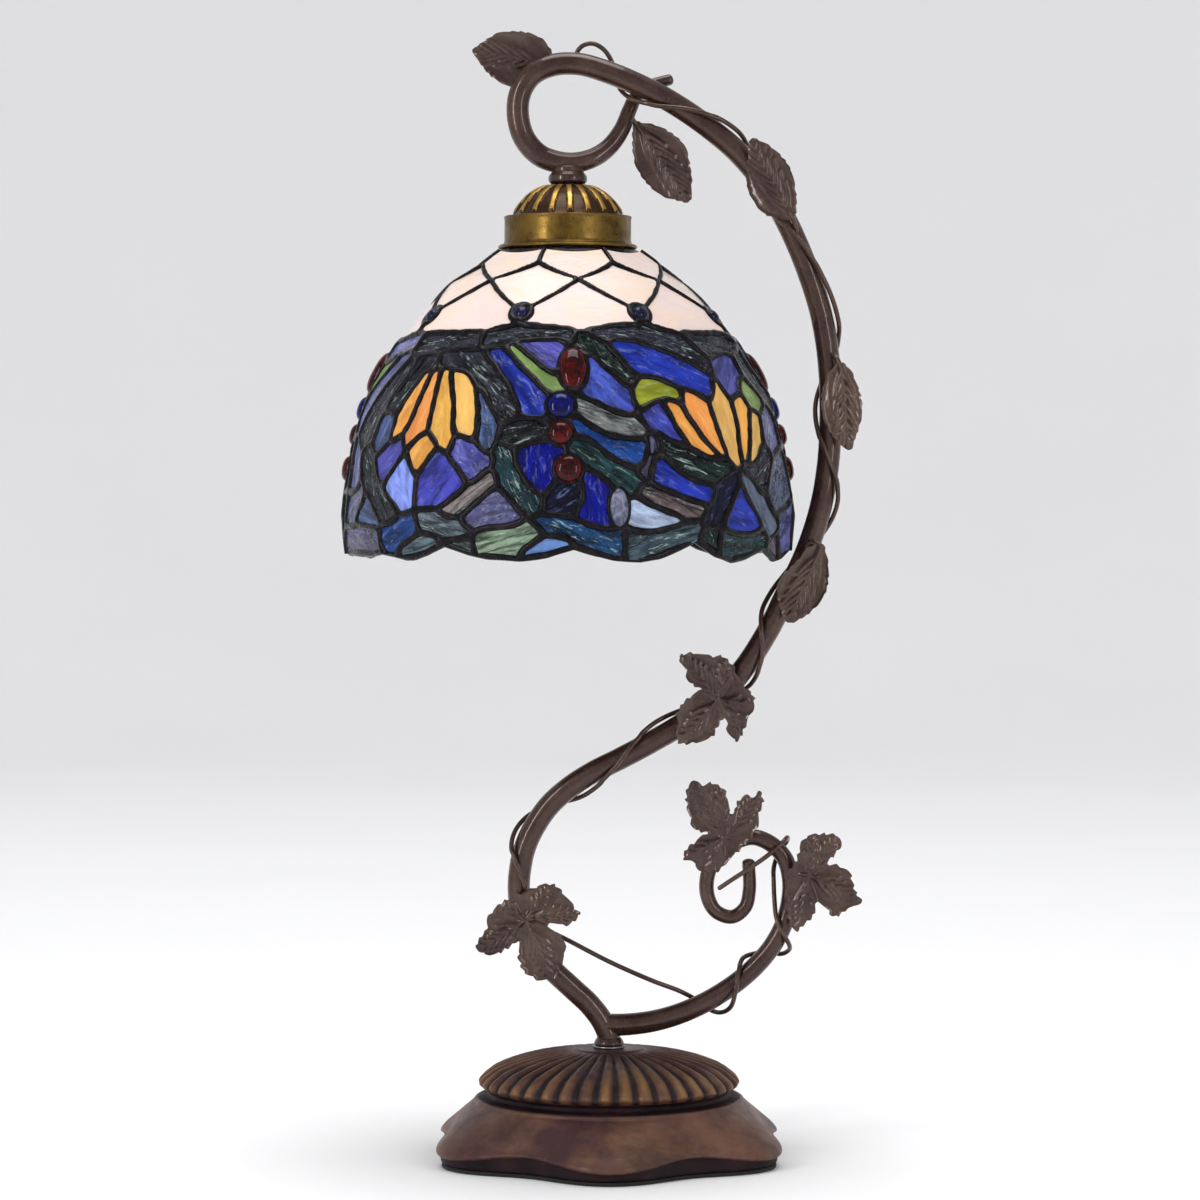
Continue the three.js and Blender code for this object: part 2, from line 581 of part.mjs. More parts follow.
// The wavy lower edge: shallow arcs that meet in notches.
function rimHeight(angle) {
  const a = ((((angle - RIM_NOTCHES[0]) % 90) + 90) % 90) + RIM_NOTCHES[0];
  const k = Math.max(1, RIM_NOTCHES.findIndex((notch) => notch >= a));
  const [from, to] = [RIM_NOTCHES[k - 1], RIM_NOTCHES[k]];
  const across = (2 * (a - from)) / (to - from) - 1;
  return RIM_LOW + RIM_SCALLOP * Math.abs(across) ** 2.2;
}

// A shell that follows the dome surface through the given heights.
function shadeShell(heights, segments) {
  const outside = heights.map((z) => [shadeRadius(z) + GLASS_OUT, z]);
  const inside = heights.map((z) => [shadeRadius(z) - GLASS_IN, z]);
  return lathe([...outside, ...inside.reverse()], segments);
}

// A cabochon: a domed jewel with its flat back to the lamp, set at an angle and height on the dome.
function jewel(angle, height, halfWidth, halfHeight, grow) {
  const slope = Math.atan2(shadeRadius(height - 1) - shadeRadius(height + 1), 2);
  const [w, h, d] = [halfWidth + grow, halfHeight + grow, 4.2 + grow];
  const dome = new THREE.SphereGeometry(1, 8, 5).scale(w, d, h);
  const p = dome.getAttribute("position");
  for (let i = 0; i < p.count; i++) p.setY(i, Math.min(p.getY(i), 1.6 + grow));
  dome.rotateX(slope);
  dome.translate(0, -shadeRadius(height), height);
  return dome.rotateZ(radians(angle));
}

const JEWELS = {
  jewel_oval: [2, 362.5, 5.6, 10.6, RED_JEWEL],
  jewel_blue: [-1.4, 346, 5.2, 5.2, BLUE_JEWEL],
  jewel_red_upper: [-1.4, 334.5, 4.6, 4.6, RED_JEWEL],
  jewel_red_lower: [0.6, 318.5, 5.3, 5.3, RED_JEWEL],
};
const JEWEL_COLUMNS = { front: 0, right: 90, back: 180, left: 270 };

function addShade() {
  add(head, "shade_top_ring", ring(28.4, 31.6, 416, FLANGE_FOOT - GAP, 28), BRASS);
  const crown = shadeShell([419, 411.3, 402.5, 393, CROWN_FOOT], SHADE_SEGMENTS);
  add(head, "shade_crown_glass", subtract(crown, disc(31.9, 410, 430, 28)), CREAM_GLASS);

  const band = shadeShell([CROWN_FOOT - GAP, 362, 339, 311, 296, RIM_LOW], SHADE_SIDES);
  reshapeRound(band, (r, z, angle) => {
    if (z > RIM_LOW + 1) return [r, z];
    const low = rimHeight(angle) + 2.2;
    return [shadeRadius(low) + (r > shadeRadius(RIM_LOW) ? GLASS_OUT : -GLASS_IN), low];
  });
  const pockets = [];
  for (const turn of Object.values(JEWEL_COLUMNS)) {
    for (const [angle, height, w, h] of Object.values(JEWELS)) pockets.push(jewel(angle + turn, height, w, h, GAP));
  }
  add(head, "shade_flower_glass", subtract(band, ...pockets), BLUE_GLASS);

  for (const [side, turn] of Object.entries(JEWEL_COLUMNS)) {
    for (const [name, [angle, height, w, h, look]] of Object.entries(JEWELS)) {
      add(head, `${name}_${side}`, jewel(angle + turn, height, w, h, 0), look);
    }
  }

  const middle = shadeRadius(RIM_LOW);
  const rim = new THREE.TorusGeometry(middle, 1.5, 4, SHADE_SIDES);
  const p = rim.getAttribute("position");
  for (let i = 0; i < p.count; i++) {
    const angle = THREE.MathUtils.radToDeg(Math.atan2(p.getX(i), -p.getY(i)));
    const low = rimHeight(angle);
    const out = Math.hypot(p.getX(i), p.getY(i)) - middle + shadeRadius(low);
    p.setXYZ(i, out * Math.sin(radians(angle)), -out * Math.cos(radians(angle)), p.getZ(i) + low);
  }
  add(head, "shade_rim_came", rim, CAME);
}

addBase();
addStand();
addCap();
addSocket();
addBulb();
addShade();

export default lamp;
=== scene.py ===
"""A stained glass table lamp, dressed in Blender over its CAD frame.

Lengths in this script are millimetres in the frame's own axes (front faces -Y) and become metres in
mesh_piece(). Angles round an axis are degrees, 0 at the front and 90 on the +X side.
"""
import math

import bpy
import numpy as np
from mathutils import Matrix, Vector
from mathutils.geometry import delaunay_2d_cdt


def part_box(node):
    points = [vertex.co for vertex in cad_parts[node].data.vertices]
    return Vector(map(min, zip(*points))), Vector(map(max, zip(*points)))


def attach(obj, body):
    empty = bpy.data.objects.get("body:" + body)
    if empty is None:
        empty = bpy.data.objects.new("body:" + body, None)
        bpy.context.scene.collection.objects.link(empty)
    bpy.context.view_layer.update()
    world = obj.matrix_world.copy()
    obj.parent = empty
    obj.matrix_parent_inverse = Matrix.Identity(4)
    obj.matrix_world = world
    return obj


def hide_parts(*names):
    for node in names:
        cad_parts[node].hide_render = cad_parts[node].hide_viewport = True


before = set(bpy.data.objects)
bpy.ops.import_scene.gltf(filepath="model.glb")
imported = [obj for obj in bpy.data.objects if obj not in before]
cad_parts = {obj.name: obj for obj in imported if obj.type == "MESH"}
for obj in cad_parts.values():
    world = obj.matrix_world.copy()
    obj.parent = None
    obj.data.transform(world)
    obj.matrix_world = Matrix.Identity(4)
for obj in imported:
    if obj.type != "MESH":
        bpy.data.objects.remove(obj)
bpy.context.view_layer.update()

MM = 0.001
TURN = 2 * math.pi
SPAN_SAMPLES = 24  # of a curve between two of its points, before it is evened out


def node_span(name):
    """A CAD node's lowest and highest corner, in millimetres."""
    low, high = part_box(name)
    return np.array(low) / MM, np.array(high) / MM


band_low, band_high = node_span("fitter_band")
HEAD_X = float(band_low[0] + band_high[0]) / 2  # the shade's axis
POST_RADIUS = 5.2
POST_TIP, POST_TAPER = 2.6, 75.0  # the tube's radius at its curled end, and how long it tapers to it
BRANCH_TIP = 3.0
WIRE_RADIUS = 1.1
WIND_RADIUS = POST_RADIUS + WIRE_RADIUS + 0.8  # from the tube's centreline to a wire wound round it
LEAF_BACK = -8.5  # depth of the back of the leaves that lie in front of the tube
LEAF_THICKNESS = 0.9
OUTLINE_STEP = 0.6  # between the points of a leaf's outline
OVAL_TEETH, VINE_TEETH = (5.2, 0.8), (5.6, 1.7)  # length and depth of the teeth


# ---- meshes ----
def mesh_piece(name, solid, material, body, slot, stands_for=(), crease=40):
    """Makes a solid, as (points, faces), a piece of the object. Edges over crease degrees stay crisp."""
    points, faces = solid
    mesh = bpy.data.meshes.new(name)
    mesh.from_pydata((np.asarray(points, float) * MM).tolist(), [], [list(map(int, f)) for f in faces])
    mesh.materials.append(material)
    mesh.shade_smooth()
    mesh.set_sharp_from_angle(angle=math.radians(crease))
    piece = bpy.data.objects.new(name, mesh)
    bpy.context.scene.collection.objects.link(piece)
    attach(piece, body)
    if stands_for:
        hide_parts(*stands_for)
    return piece


def merged(*parts):
    """Several (points, faces) as one."""
    points, faces, start = [], [], 0
    for p, f in parts:
        points.append(np.asarray(p, float))
        faces += [[i + start for i in face] for face in f]
        start += len(p)
    return np.concatenate(points), faces


def compacted(faces):
    """The points that faces use, and the faces renumbered to them."""
    used = np.unique([v for face in faces for v in face])
    place = {v: k for k, v in enumerate(used.tolist())}
    return used, [[place[v] for v in face] for face in faces]


def skirt(faces, offset):
    """Quads that join the free edges of faces to the same edges of their copy, offset points later."""
    edges = set()
    for face in faces:
        for a, b in zip(face, [*face[1:], face[0]]):
            if (b, a) in edges:
                edges.remove((b, a))
            else:
                edges.add((a, b))
    return [[b, a, a + offset, b + offset] for a, b in sorted(edges)]


def sheet_faces(faces, offset):
    """The faces of a closed sheet: front, back (a copy, offset points later) and the skirt between them."""
    return faces + [[v + offset for v in face][::-1] for face in faces] + skirt(faces, offset)


def smooth_curve(points, step=1.0):
    """A centripetal Catmull-Rom curve through [x, z] or [x, y, z] points, as points at even steps."""
    knots = np.array([[p[0], 0, p[1]] if len(p) == 2 else p for p in points], float)
    first, last = 2 * knots[0] - knots[1], 2 * knots[-1] - knots[-2]
    knots = np.vstack([first, knots, last])
    dense = []
    for k in range(1, len(knots) - 2):
        p0, p1, p2, p3 = knots[k - 1:k + 3]
        d0, d1, d2 = (math.sqrt(np.linalg.norm(b - a)) for a, b in ((p0, p1), (p1, p2), (p2, p3)))
        t1 = ((p1 - p0) / d0 - (p2 - p0) / (d0 + d1) + (p2 - p1) / d1) * d1
        t2 = ((p2 - p1) / d1 - (p3 - p1) / (d1 + d2) + (p3 - p2) / d2) * d1
        t = np.linspace(0, 1, SPAN_SAMPLES, endpoint=False)[:, None]
        dense.append(p1 + t1 * t + (3 * (p2 - p1) - 2 * t1 - t2) * t**2 + (2 * (p1 - p2) + t1 + t2) * t**3)
    dense = np.vstack([*dense, knots[-2:-1]])
    length = np.concatenate([[0], np.cumsum(np.linalg.norm(np.diff(dense, axis=0), axis=1))])
    stations = np.linspace(0, length[-1], max(2, round(length[-1] / step)) + 1)
    return np.stack([np.interp(stations, length, dense[:, i]) for i in range(3)], axis=1)


def closed_curve(points, step):
    """A smooth closed loop through [x, z] points, as [x, z] at about even steps."""
    wrapped = [*points[-3:], *points, *points[:3]]
    curve = smooth_curve(wrapped, step)[:, [0, 2]]
    start = np.argmin(np.linalg.norm(curve[:len(curve) // 3] - points[0], axis=1))
    half = len(curve) // 2
    end = half + np.argmin(np.linalg.norm(curve[half:] - points[0], axis=1))
    return curve[start:end]


def tangents_of(centres):
    along = np.gradient(centres, axis=0)
    return along / np.linalg.norm(along, axis=1)[:, None]


def tube(centres, radii, sides=24, start_dome=1.0, end_dome=1.0):
    """A round tube along centres with domed ends, as points and faces."""
    centres = np.asarray(centres, float)
    radii = np.broadcast_to(np.asarray(radii, float), len(centres)).copy()
    along = tangents_of(centres)
    turns = np.radians([22, 45, 67, 85])
    for end, dome in ((0, start_dome), (-1, end_dome)):
        out = -along[end] if end == 0 else along[end]
        extra = [centres[end] + out * radii[end] * dome * math.sin(a) for a in turns]
        sizes = [radii[end] * math.cos(a) for a in turns]
        direction = [along[end]] * len(turns)
        if end == 0:
            centres = np.vstack([extra[::-1], centres])
            radii = np.concatenate([sizes[::-1], radii])
            along = np.vstack([direction, along])
        else:
            centres = np.vstack([centres, extra])
            radii = np.concatenate([radii, sizes])
            along = np.vstack([along, direction])
    angles = np.linspace(0, TURN, sides, endpoint=False)
    normal = np.array([0.0, -1.0, 0.0]) if abs(along[0][1]) < 0.9 else np.array([1.0, 0.0, 0.0])
    rings = []
    for centre, radius, t in zip(centres, radii, along):
        normal = normal - t * normal.dot(t)
        normal /= np.linalg.norm(normal)
        side = np.cross(t, normal)
        rings.append(centre + radius * (np.outer(np.cos(angles), normal) + np.outer(np.sin(angles), side)))
    return np.vstack(rings), capped_faces(len(rings), sides)


def grid_faces(rows, columns, closed_rows=False):
    """Quads between rows of a grid whose columns wrap round, and whose rows may too."""
    faces = []
    for i in range(rows if closed_rows else rows - 1):
        below, above = i * columns, ((i + 1) % rows) * columns
        for k in range(columns):
            n = (k + 1) % columns
            faces.append([below + k, below + n, above + n, above + k])
    return faces


def capped_faces(rows, columns):
    """A grid's quads, with its first and last rows closed by a face each."""
    last = (rows - 1) * columns
    return [*grid_faces(rows, columns), list(range(columns))[::-1], list(range(last, last + columns))]


def rounded(profile, radius, steps=4):
    """A [radius, height] outline with its corners rounded off. The two ends stay."""
    p = np.array(profile, float)
    out = [p[0]]
    for before, corner, after in zip(p[:-2], p[1:-1], p[2:]):
        back, ahead = before - corner, after - corner
        cut = [min(radius, 0.45 * np.linalg.norm(v)) for v in (back, ahead)]
        a = corner + back / np.linalg.norm(back) * cut[0]
        b = corner + ahead / np.linalg.norm(ahead) * cut[1]
        for t in np.linspace(0, 1, steps + 1):
            out.append(a * (1 - t) ** 2 + 2 * corner * t * (1 - t) + b * t**2)
    return np.array([*out, p[-1]])


def turned(profile, centre_x=0.0, segments=96, shape=None):
    """A closed [radius, height] outline turned about a vertical axis. An outline whose ends lie on the axis
    closes there. shape(radius, height, degrees) may move each point."""
    p = np.array(profile, float)
    on_axis = p[0][0] < 1e-6 and p[-1][0] < 1e-6
    body = p[1:-1] if on_axis else p
    angles = np.linspace(0, TURN, segments, endpoint=False)
    radius = np.repeat(body[:, 0:1], segments, axis=1)
    height = np.repeat(body[:, 1:2], segments, axis=1)
    if shape:
        radius, height = shape(radius, height, np.broadcast_to(np.degrees(angles), radius.shape))
    points = np.stack([centre_x + radius * np.sin(angles), -radius * np.cos(angles), height], axis=-1)
    points = points.reshape(-1, 3)
    faces = grid_faces(len(body), segments, closed_rows=not on_axis)
    if on_axis:
        ends = np.array([[centre_x, 0, p[0][1]], [centre_x, 0, p[-1][1]]])
        low, high = len(points), len(points) + 1
        last = (len(body) - 1) * segments
        points = np.vstack([points, ends])
        faces += [[low, (k + 1) % segments, k] for k in range(segments)]
        faces += [[high, last + k, last + (k + 1) % segments] for k in range(segments)]
    return points, outward(points, faces)


def turned_part(node, suffix, finish, corner, outline, x, segments=64, body="stand"):
    """A turned part that stands for a CAD node. The closed outline's last side is left open, and its corners
    are rounded by corner; finish is (material, slot), and its slot is not used."""
    solid = turned(rounded([*outline, outline[0]], corner)[:-1], x, segments)
    mesh_piece(node + suffix, solid, finish[0], body, finish[1], [node])


def outward(points, faces):
    """The faces, turned round together if they face inward."""
    volume = 0.0
    for f in faces:
        a = points[f[0]]
        for i in range(1, len(f) - 1):
            volume += a.dot(np.cross(points[f[i]], points[f[i + 1]]))
    return faces if volume > 0 else [f[::-1] for f in faces]


# ---- materials ----
def srgb(r, g, b):
    """A display colour, 0 to 255, as the linear colour that shaders take."""
    shares = (r / 255, g / 255, b / 255)
    linear = [c / 12.92 if c <= 0.04045 else ((c + 0.055) / 1.055) ** 2.4 for c in shares]
    return (*linear, 1.0)


NOISE_SPREAD = (0.3, 0.7)  # the levels that hold most of a noise


class Look:
    """A node material under construction. Constants go straight onto the shader's own sockets."""

    def __init__(self, name, **constants):
        self.material = bpy.data.materials.new(name)
        self.material.use_nodes = True
        self.tree = self.material.node_tree
        self.shader = self.tree.nodes["Principled BSDF"]
        for socket, value in constants.items():
            self.shader.inputs[socket.replace("_", " ")].default_value = value
        self.place = self.tree.nodes.new("ShaderNodeTexCoord").outputs["Object"]

    def add(self, kind, sockets=None, **settings):
        node = self.tree.nodes.new("ShaderNode" + kind)
        for key, value in settings.items():
            setattr(node, key, value)
        for key, value in (sockets or {}).items():
            if isinstance(value, bpy.types.NodeSocket):
                self.tree.links.new(value, node.inputs[key])
            else:
                node.inputs[key].default_value = value
        return node

    def feed(self, socket, value):
        self.tree.links.new(value, self.shader.inputs[socket])

    def stretched(self, scale, source=None):
        return self.add("Mapping", {"Vector": source or self.place, "Scale": scale}).outputs["Vector"]

    def attribute(self, name):
        return self.add("Attribute", attribute_name=name)

    def noise(self, scale, detail=3.0, roughness=0.55, distortion=0.0, place=None):
        sockets = {"Vector": place or self.place, "Scale": scale, "Detail": detail, "Roughness": roughness,
                   "Distortion": distortion}
        return self.add("TexNoise", sockets).outputs["Fac"]

    def fit(self, value, low, high, to_low=0.0, to_high=1.0):
        sockets = {"Value": value, "From Min": low, "From Max": high, "To Min": to_low, "To Max": to_high}
        return self.add("MapRange", sockets).outputs["Result"]

    def patches(self, low, high, *noise):
        """Noise between two levels, spread to 0 and 1."""
        return self.fit(self.noise(*noise), low, high)

    def rough(self, smooth, dull, *noise):
        """Roughness that wanders from smooth to dull."""
        self.feed("Roughness", self.fit(self.noise(*noise), *NOISE_SPREAD, smooth, dull))

    def math(self, operation, a, b):
        return self.add("Math", {0: a, 1: b}, operation=operation).outputs["Value"]

    def times(self, a, b):
        return self.math("MULTIPLY", a, b)

    def over(self, under, top, mask, share):
        """A colour laid over another through a mask, at a share of its strength."""
        return self.mix(self.times(mask, share), under, top)

    def mix(self, share, a, b, blend="MIX"):
        node = self.add("Mix", data_type="RGBA", blend_type=blend)
        for index, value in ((0, share), (6, a), (7, b)):
            if isinstance(value, bpy.types.NodeSocket):
                self.tree.links.new(value, node.inputs[index])
            else:
                node.inputs[index].default_value = value
        return node.outputs[2]

    def bump(self, height, strength, distance, normal=None):
        sockets = {"Height": height, "Strength": strength, "Distance": distance}
        if normal:
            sockets["Normal"] = normal
        return self.add("Bump", sockets).outputs["Normal"]

    def finish(self, colour, rough, *bumps):
        """Feeds the shader a colour, a roughness of (smooth, dull, *noise) unless that is None, and bumps of
        (strength, depth in metres, *noise), each riding on the one before. Returns the material."""
        self.feed("Base Color", colour)
        if rough:
            self.rough(*rough)
        normal = None
        for strength, depth, *noise in bumps:
            normal = self.bump(self.noise(*noise), strength, depth, normal)
        self.feed("Normal", normal)
        return self.material

    def worn_edges(self, low=0.52, high=0.6):
        return self.fit(self.add("NewGeometry").outputs["Pointiness"], low, high)


FLUTES = 40
SWIRL, SWIRL_START = 0.06, 30  # how the flutes lean: degrees per mm of radius, from this radius


def painted_bronze(name, dark, light, worn, rubbed=0.4, coat=0.45):
    """Dark bronze lacquer over metal: soft mottling, rubbed edges and a light orange peel."""
    look = Look(name, Metallic=0.45, Specular_IOR_Level=0.2, Coat_Weight=coat, Coat_Roughness=0.05)
    mottle = look.patches(0.35, 0.68, 55, 5, 0.6)
    colour = look.mix(mottle, dark, light)
    fleck = look.patches(0.62, 0.78, 900, 2, 0.5)
    colour = look.over(colour, worn, fleck, 0.35)
    colour = look.over(colour, worn, look.worn_edges(), rubbed)
    return look.finish(
        colour, (0.2, 0.38, 130, 4, 0.6), (0.18, 0.0006, 420, 3, 0.6), (0.12, 0.002, 60, 2, 0.5))


def cast_bronze():
    """Sand-cast brown metal: mottled skirt, flutes whose purple-black hollows are dark patina and painted
    shade, and golden rubbed ridges.
    """
    look = Look("cast_bronze", Metallic=0.4, Coat_Weight=0.08, Coat_Roughness=0.25, Specular_IOR_Level=0.3)
    drift = look.patches(0.4, 0.64, 26, 5, 0.65)
    colour = look.mix(drift, srgb(66, 40, 42), srgb(106, 74, 58))
    gold = look.patches(0.52, 0.72, 38, 5, 0.7, 0.6)
    colour = look.over(colour, srgb(126, 92, 52), gold, 0.45)
    shade = look.patches(0.54, 0.72, 34, 4, 0.6, 0.3, look.stretched((1, 1, 1.6)))
    colour = look.over(colour, srgb(38, 22, 30), shade, 0.6)
    x, y, z = look.add("SeparateXYZ", {"Vector": look.place}).outputs
    radius = look.math("SQRT", look.math("ADD", look.times(x, x), look.times(y, y)), 0.5)
    swirl = look.times(look.math("SUBTRACT", radius, SWIRL_START * MM), math.radians(SWIRL) / MM)
    angle = look.math("ADD", look.math("ARCTAN2", y, x), swirl)
    ridge = look.math("COSINE", look.times(angle, float(FLUTES)), 0.0)
    on_cushion = look.fit(z, 31.5 * MM, 32.5 * MM)
    outer = look.times(on_cushion, look.fit(radius, 18 * MM, 26 * MM))
    # dark patina and painted shade in the outer flute grooves
    groove_patina_and_shade = look.times(look.fit(ridge, -0.1, -0.75), outer)
    colour = look.over(colour, srgb(22, 12, 17), groove_patina_and_shade, 0.92)
    crest = look.times(look.fit(ridge, 0.1, 0.9), look.fit(radius, 36 * MM, 56 * MM))
    crest = look.times(look.times(crest, on_cushion), look.patches(0.34, 0.6, 60, 3))
    colour = look.over(colour, srgb(140, 104, 58), crest, 0.7)
    colour = look.over(colour, srgb(140, 100, 70), look.worn_edges(0.53, 0.62), 0.5)
    return look.finish(
        colour, (0.36, 0.6, 90, 5, 0.65), (0.35, 0.0004, 1500, 3, 0.7), (0.3, 0.0009, 180, 4, 0.6))


def cast_painted_shade():
    """Painted shade: a purple-black put in the casting's groove and under its lip, where shade falls."""
    look = Look("cast_painted_shade", Metallic=0.2, Specular_IOR_Level=0.2)
    drift = look.patches(0.4, 0.65, 60, 4, 0.6)
    colour = look.mix(drift, srgb(20, 10, 16), srgb(46, 26, 30))
    return look.finish(colour, (0.5, 0.72, 120, 4, 0.6), (0.35, 0.0004, 1500, 3, 0.7))


def antique_brass(name, bright, dull, roughness=0.3):
    """Brass with a brown patina that gathers in patches, and fine turned lines."""
    look = Look(name, Metallic=0.9)
    patina = look.patches(0.42, 0.66, 70, 6, 0.7, 0.4)
    colour = look.mix(patina, bright, dull)
    specks = look.patches(0.6, 0.72, 520, 3, 0.6)
    colour = look.over(colour, srgb(44, 30, 16), specks, 0.6)
    lines = look.stretched((1, 1, 26))
    return look.finish(colour, (roughness - 0.08, roughness + 0.16, 160, 4, 0.6),
                       (0.15, 0.0005, 60, 3, 0.6, 0.0, lines), (0.12, 0.0004, 500, 3, 0.6))


def bare_metal(name, colour, roughness, metallic=1.0):
    """Machined or cast metal with faint stains and scratches."""
    look = Look(name, Metallic=metallic)
    stain = look.patches(0.4, 0.7, 120, 4, 0.6)
    darker = (*[c * 0.6 for c in colour[:3]], 1.0)
    scratches = look.stretched((1, 9, 1))
    return look.finish(look.mix(stain, colour, darker), (roughness - 0.08, roughness + 0.14, 240, 4, 0.6),
                       (0.2, 0.0004, 180, 2, 0.5, 0.0, scratches))


def moulded(name, colour, roughness, grain=900):
    """Rubber, fibre or phenolic: a moulded skin with a fine grain."""
    look = Look(name, Specular_IOR_Level=0.4)
    drift = look.patches(0.35, 0.7, 80, 3, 0.5)
    paler = (*[min(1, c * 1.7 + 0.004) for c in colour[:3]], 1.0)
    return look.finish(look.mix(drift, colour, paler), (roughness - 0.08, roughness + 0.1, 200, 3, 0.6),
                       (0.25, 0.0004, grain, 3, 0.6))


def felt():
    """Black felt: matted short fibres."""
    look = Look("felt", Roughness=1.0, Sheen_Weight=0.1, Sheen_Roughness=0.6)
    fibres = look.noise(1400, 5, 0.8, 1.5)
    look.feed("Base Color", look.mix(look.fit(fibres, 0.35, 0.7), srgb(8, 8, 9), srgb(24, 23, 23)))
    look.feed("Normal", look.bump(fibres, 0.7, 0.0012))
    return look.material


def solder():
    """Black-patinated solder: lumpy, half glossy, rubbed to grey on the crests."""
    look = Look("solder", Metallic=0.5, Specular_IOR_Level=0.2, Coat_Weight=0.06, Coat_Roughness=0.08)
    rub = look.patches(0.52, 0.74, 260, 5, 0.65)
    colour = look.mix(rub, srgb(9, 7, 11), srgb(38, 32, 40))
    bloom = look.patches(0.55, 0.75, 60, 3, 0.6)
    colour = look.over(colour, srgb(56, 40, 46), bloom, 0.35)
    return look.finish(
        colour, (0.2, 0.45, 300, 4, 0.6), (0.5, 0.0012, 240, 3, 0.55), (0.25, 0.0004, 1100, 3, 0.6))


def glass_look(name, streak, stretch, streak_colour, streaks, milkiness, shades, ripple,
               roughness=(0.05, 0.16)):
    """Opalescent sheet glass. Each pane has its own tint, and a grain vector in mm that runs along it.
    streak is the scale of the streaks and stretch their squash along the grain; streaks are the noise
    levels where they begin and are full; shades are the deepest and palest multiples of the tint, and
    ripple is the height of the surface waves in metres."""
    look = Look(name, Coat_Weight=0.05, Coat_Roughness=0.03, Specular_IOR_Level=0.13)
    tint = look.attribute("tint").outputs["Color"]
    grain = look.attribute("grain").outputs["Vector"]
    lengthwise = look.stretched((stretch, 1.0, 1.0), grain)
    wisps = look.noise(streak, 5, 0.62, 1.3, lengthwise)
    depth = look.noise(streak * 0.5, 4, 0.6, 0.8, look.stretched((stretch, 1.0, 1.7), grain))
    deep = look.mix(1.0, tint, (*[shades[0]] * 3, 1), "MULTIPLY")
    pale = look.mix(1.0, tint, (*[shades[1]] * 3, 1), "MULTIPLY")
    colour = look.mix(look.fit(depth, 0.4, 0.6), deep, pale)
    speckle = look.patches(0.42, 0.66, 1.6, 2, 0.6, 0.5, lengthwise)
    colour = look.over(colour, deep, speckle, 0.3)
    milk = look.fit(wisps, *streaks)
    colour = look.over(colour, streak_colour, milk, milkiness)
    waves = look.stretched((0.5, 1.0, 1.0), grain)
    return look.finish(colour, (*roughness, 120, 3, 0.5), (0.08, 0.0004, 700, 2, 0.5),
                       (0.9, ripple, 0.2, 3, 0.5, 0.8, waves))


def jewel_look(name, deep, glow):
    """A pressed glass cabochon: clear skin over deep colour, with painted light that brightens it towards its
    rim, where its face turns from view.
    """
    look = Look(name, Roughness=0.03, Specular_IOR_Level=0.16, Coat_Weight=0.12, Coat_Roughness=0.02)
    swirl = look.patches(0.4, 0.8, 260, 3, 0.5, 0.8)
    # painted light: the colour turns to the glow colour where the stone's face turns away from view
    rim = look.add("LayerWeight", {"Blend": 0.35}).outputs["Facing"]
    inner = look.mix(swirl, deep, glow)
    return look.finish(look.mix(look.fit(rim, 0.25, 0.9), inner, glow), None, (0.06, 0.0005, 300, 2, 0.5))


BRONZE = painted_bronze("bronze_paint", srgb(52, 31, 29), srgb(76, 56, 46), srgb(104, 80, 56))
LEAF_BRONZE = painted_bronze("leaf_bronze", srgb(56, 38, 36), srgb(84, 66, 56), srgb(108, 88, 70), 0.12)
CAST = cast_bronze()
CAST_SHADOW = cast_painted_shade()
BAND_BRASS = antique_brass("band_brass", srgb(112, 88, 38), srgb(74, 54, 22))
RIB_GOLD = antique_brass("rib_gold", srgb(188, 150, 72), srgb(136, 98, 40), 0.32)
CAP_BROWN = painted_bronze("cap_brown", srgb(36, 19, 9), srgb(66, 42, 20), srgb(104, 72, 30), coat=0.08)
BRASS = antique_brass("socket_brass", srgb(190, 152, 78), srgb(140, 104, 48))
STEEL = bare_metal("steel", srgb(170, 170, 172), 0.32)
IRON = bare_metal("iron", srgb(70, 68, 68), 0.6, 0.7)
FELT = felt()
RUBBER = moulded("rubber", srgb(20, 20, 21), 0.7)
INSULATION = moulded("insulation", srgb(70, 50, 32), 0.5)
PHENOLIC = moulded("phenolic", srgb(34, 26, 22), 0.3, 400)
SOLDER = solder()


# ---- the stand's tube, branch and wires ----
POST_POINTS = [
    (0, 33), (0, 45), (0, 55), (-3, 62.5), (-9, 70.5), (-17, 78), (-27, 87.5), (-35, 98), (-40, 110),
    (-41.7, 122), (-41.3, 132), (-39, 143), (-34.5, 153), (-27.5, 163), (-18, 171.5), (-7, 178.5), (5, 184.5),
    (20, 192.5), (36, 202), (50, 213), (62, 226), (73, 243), (82, 261), (91, 280), (97.5, 300), (101, 320),
    (102.2, 342), (101.5, 366), (98, 389), (91.5, 410), (82.5, 431), (72, 449), (60, 463.5), (46, 475.5),
    (30, 486.5), (14, 495), (-2, 501.5), (-14, 504.7), (-26, 504.2), (-36, 499.3), (-41.2, 490.5),
    (-41.8, 480), (-38.6, 470), (-31, 462.3), (-19, 459.3), (-8, 1.5, 461.5), (0, 4, 467), (6, 6.5, 475.5),
    (9.3, 9, 484), (12.5, 10, 490.5), (19, 10, 495.5), (28, 10, 498.5),
]
BRANCH_POINTS = [
    (-2, 61), (8, 61.2), (20, 62.7), (32, 66), (44, 71.2), (56, 78.5), (67, 87.5), (75.5, 97.5), (81, 108),
    (83.8, 119), (84, 129), (81.5, 138), (75, 145), (66.5, 148.2), (57.5, 145.5), (50, 139.5), (45.8, 131),
    (45.6, 121), (49.5, 113.8), (57, 111.2), (63, 115.5), (65, 123.5), (64.6, 136.5),
]
TENDRIL = [
    (-15, 7.6, 504), (-15.2, 7.2, 509.5), (-12.8, 6.6, 513.3), (-8, 6.3, 514.8), (-3, 6.5, 512.5),
    (0.8, 7, 507.5), (3.2, 7.6, 500.5), (5, 5.8, 494),
]
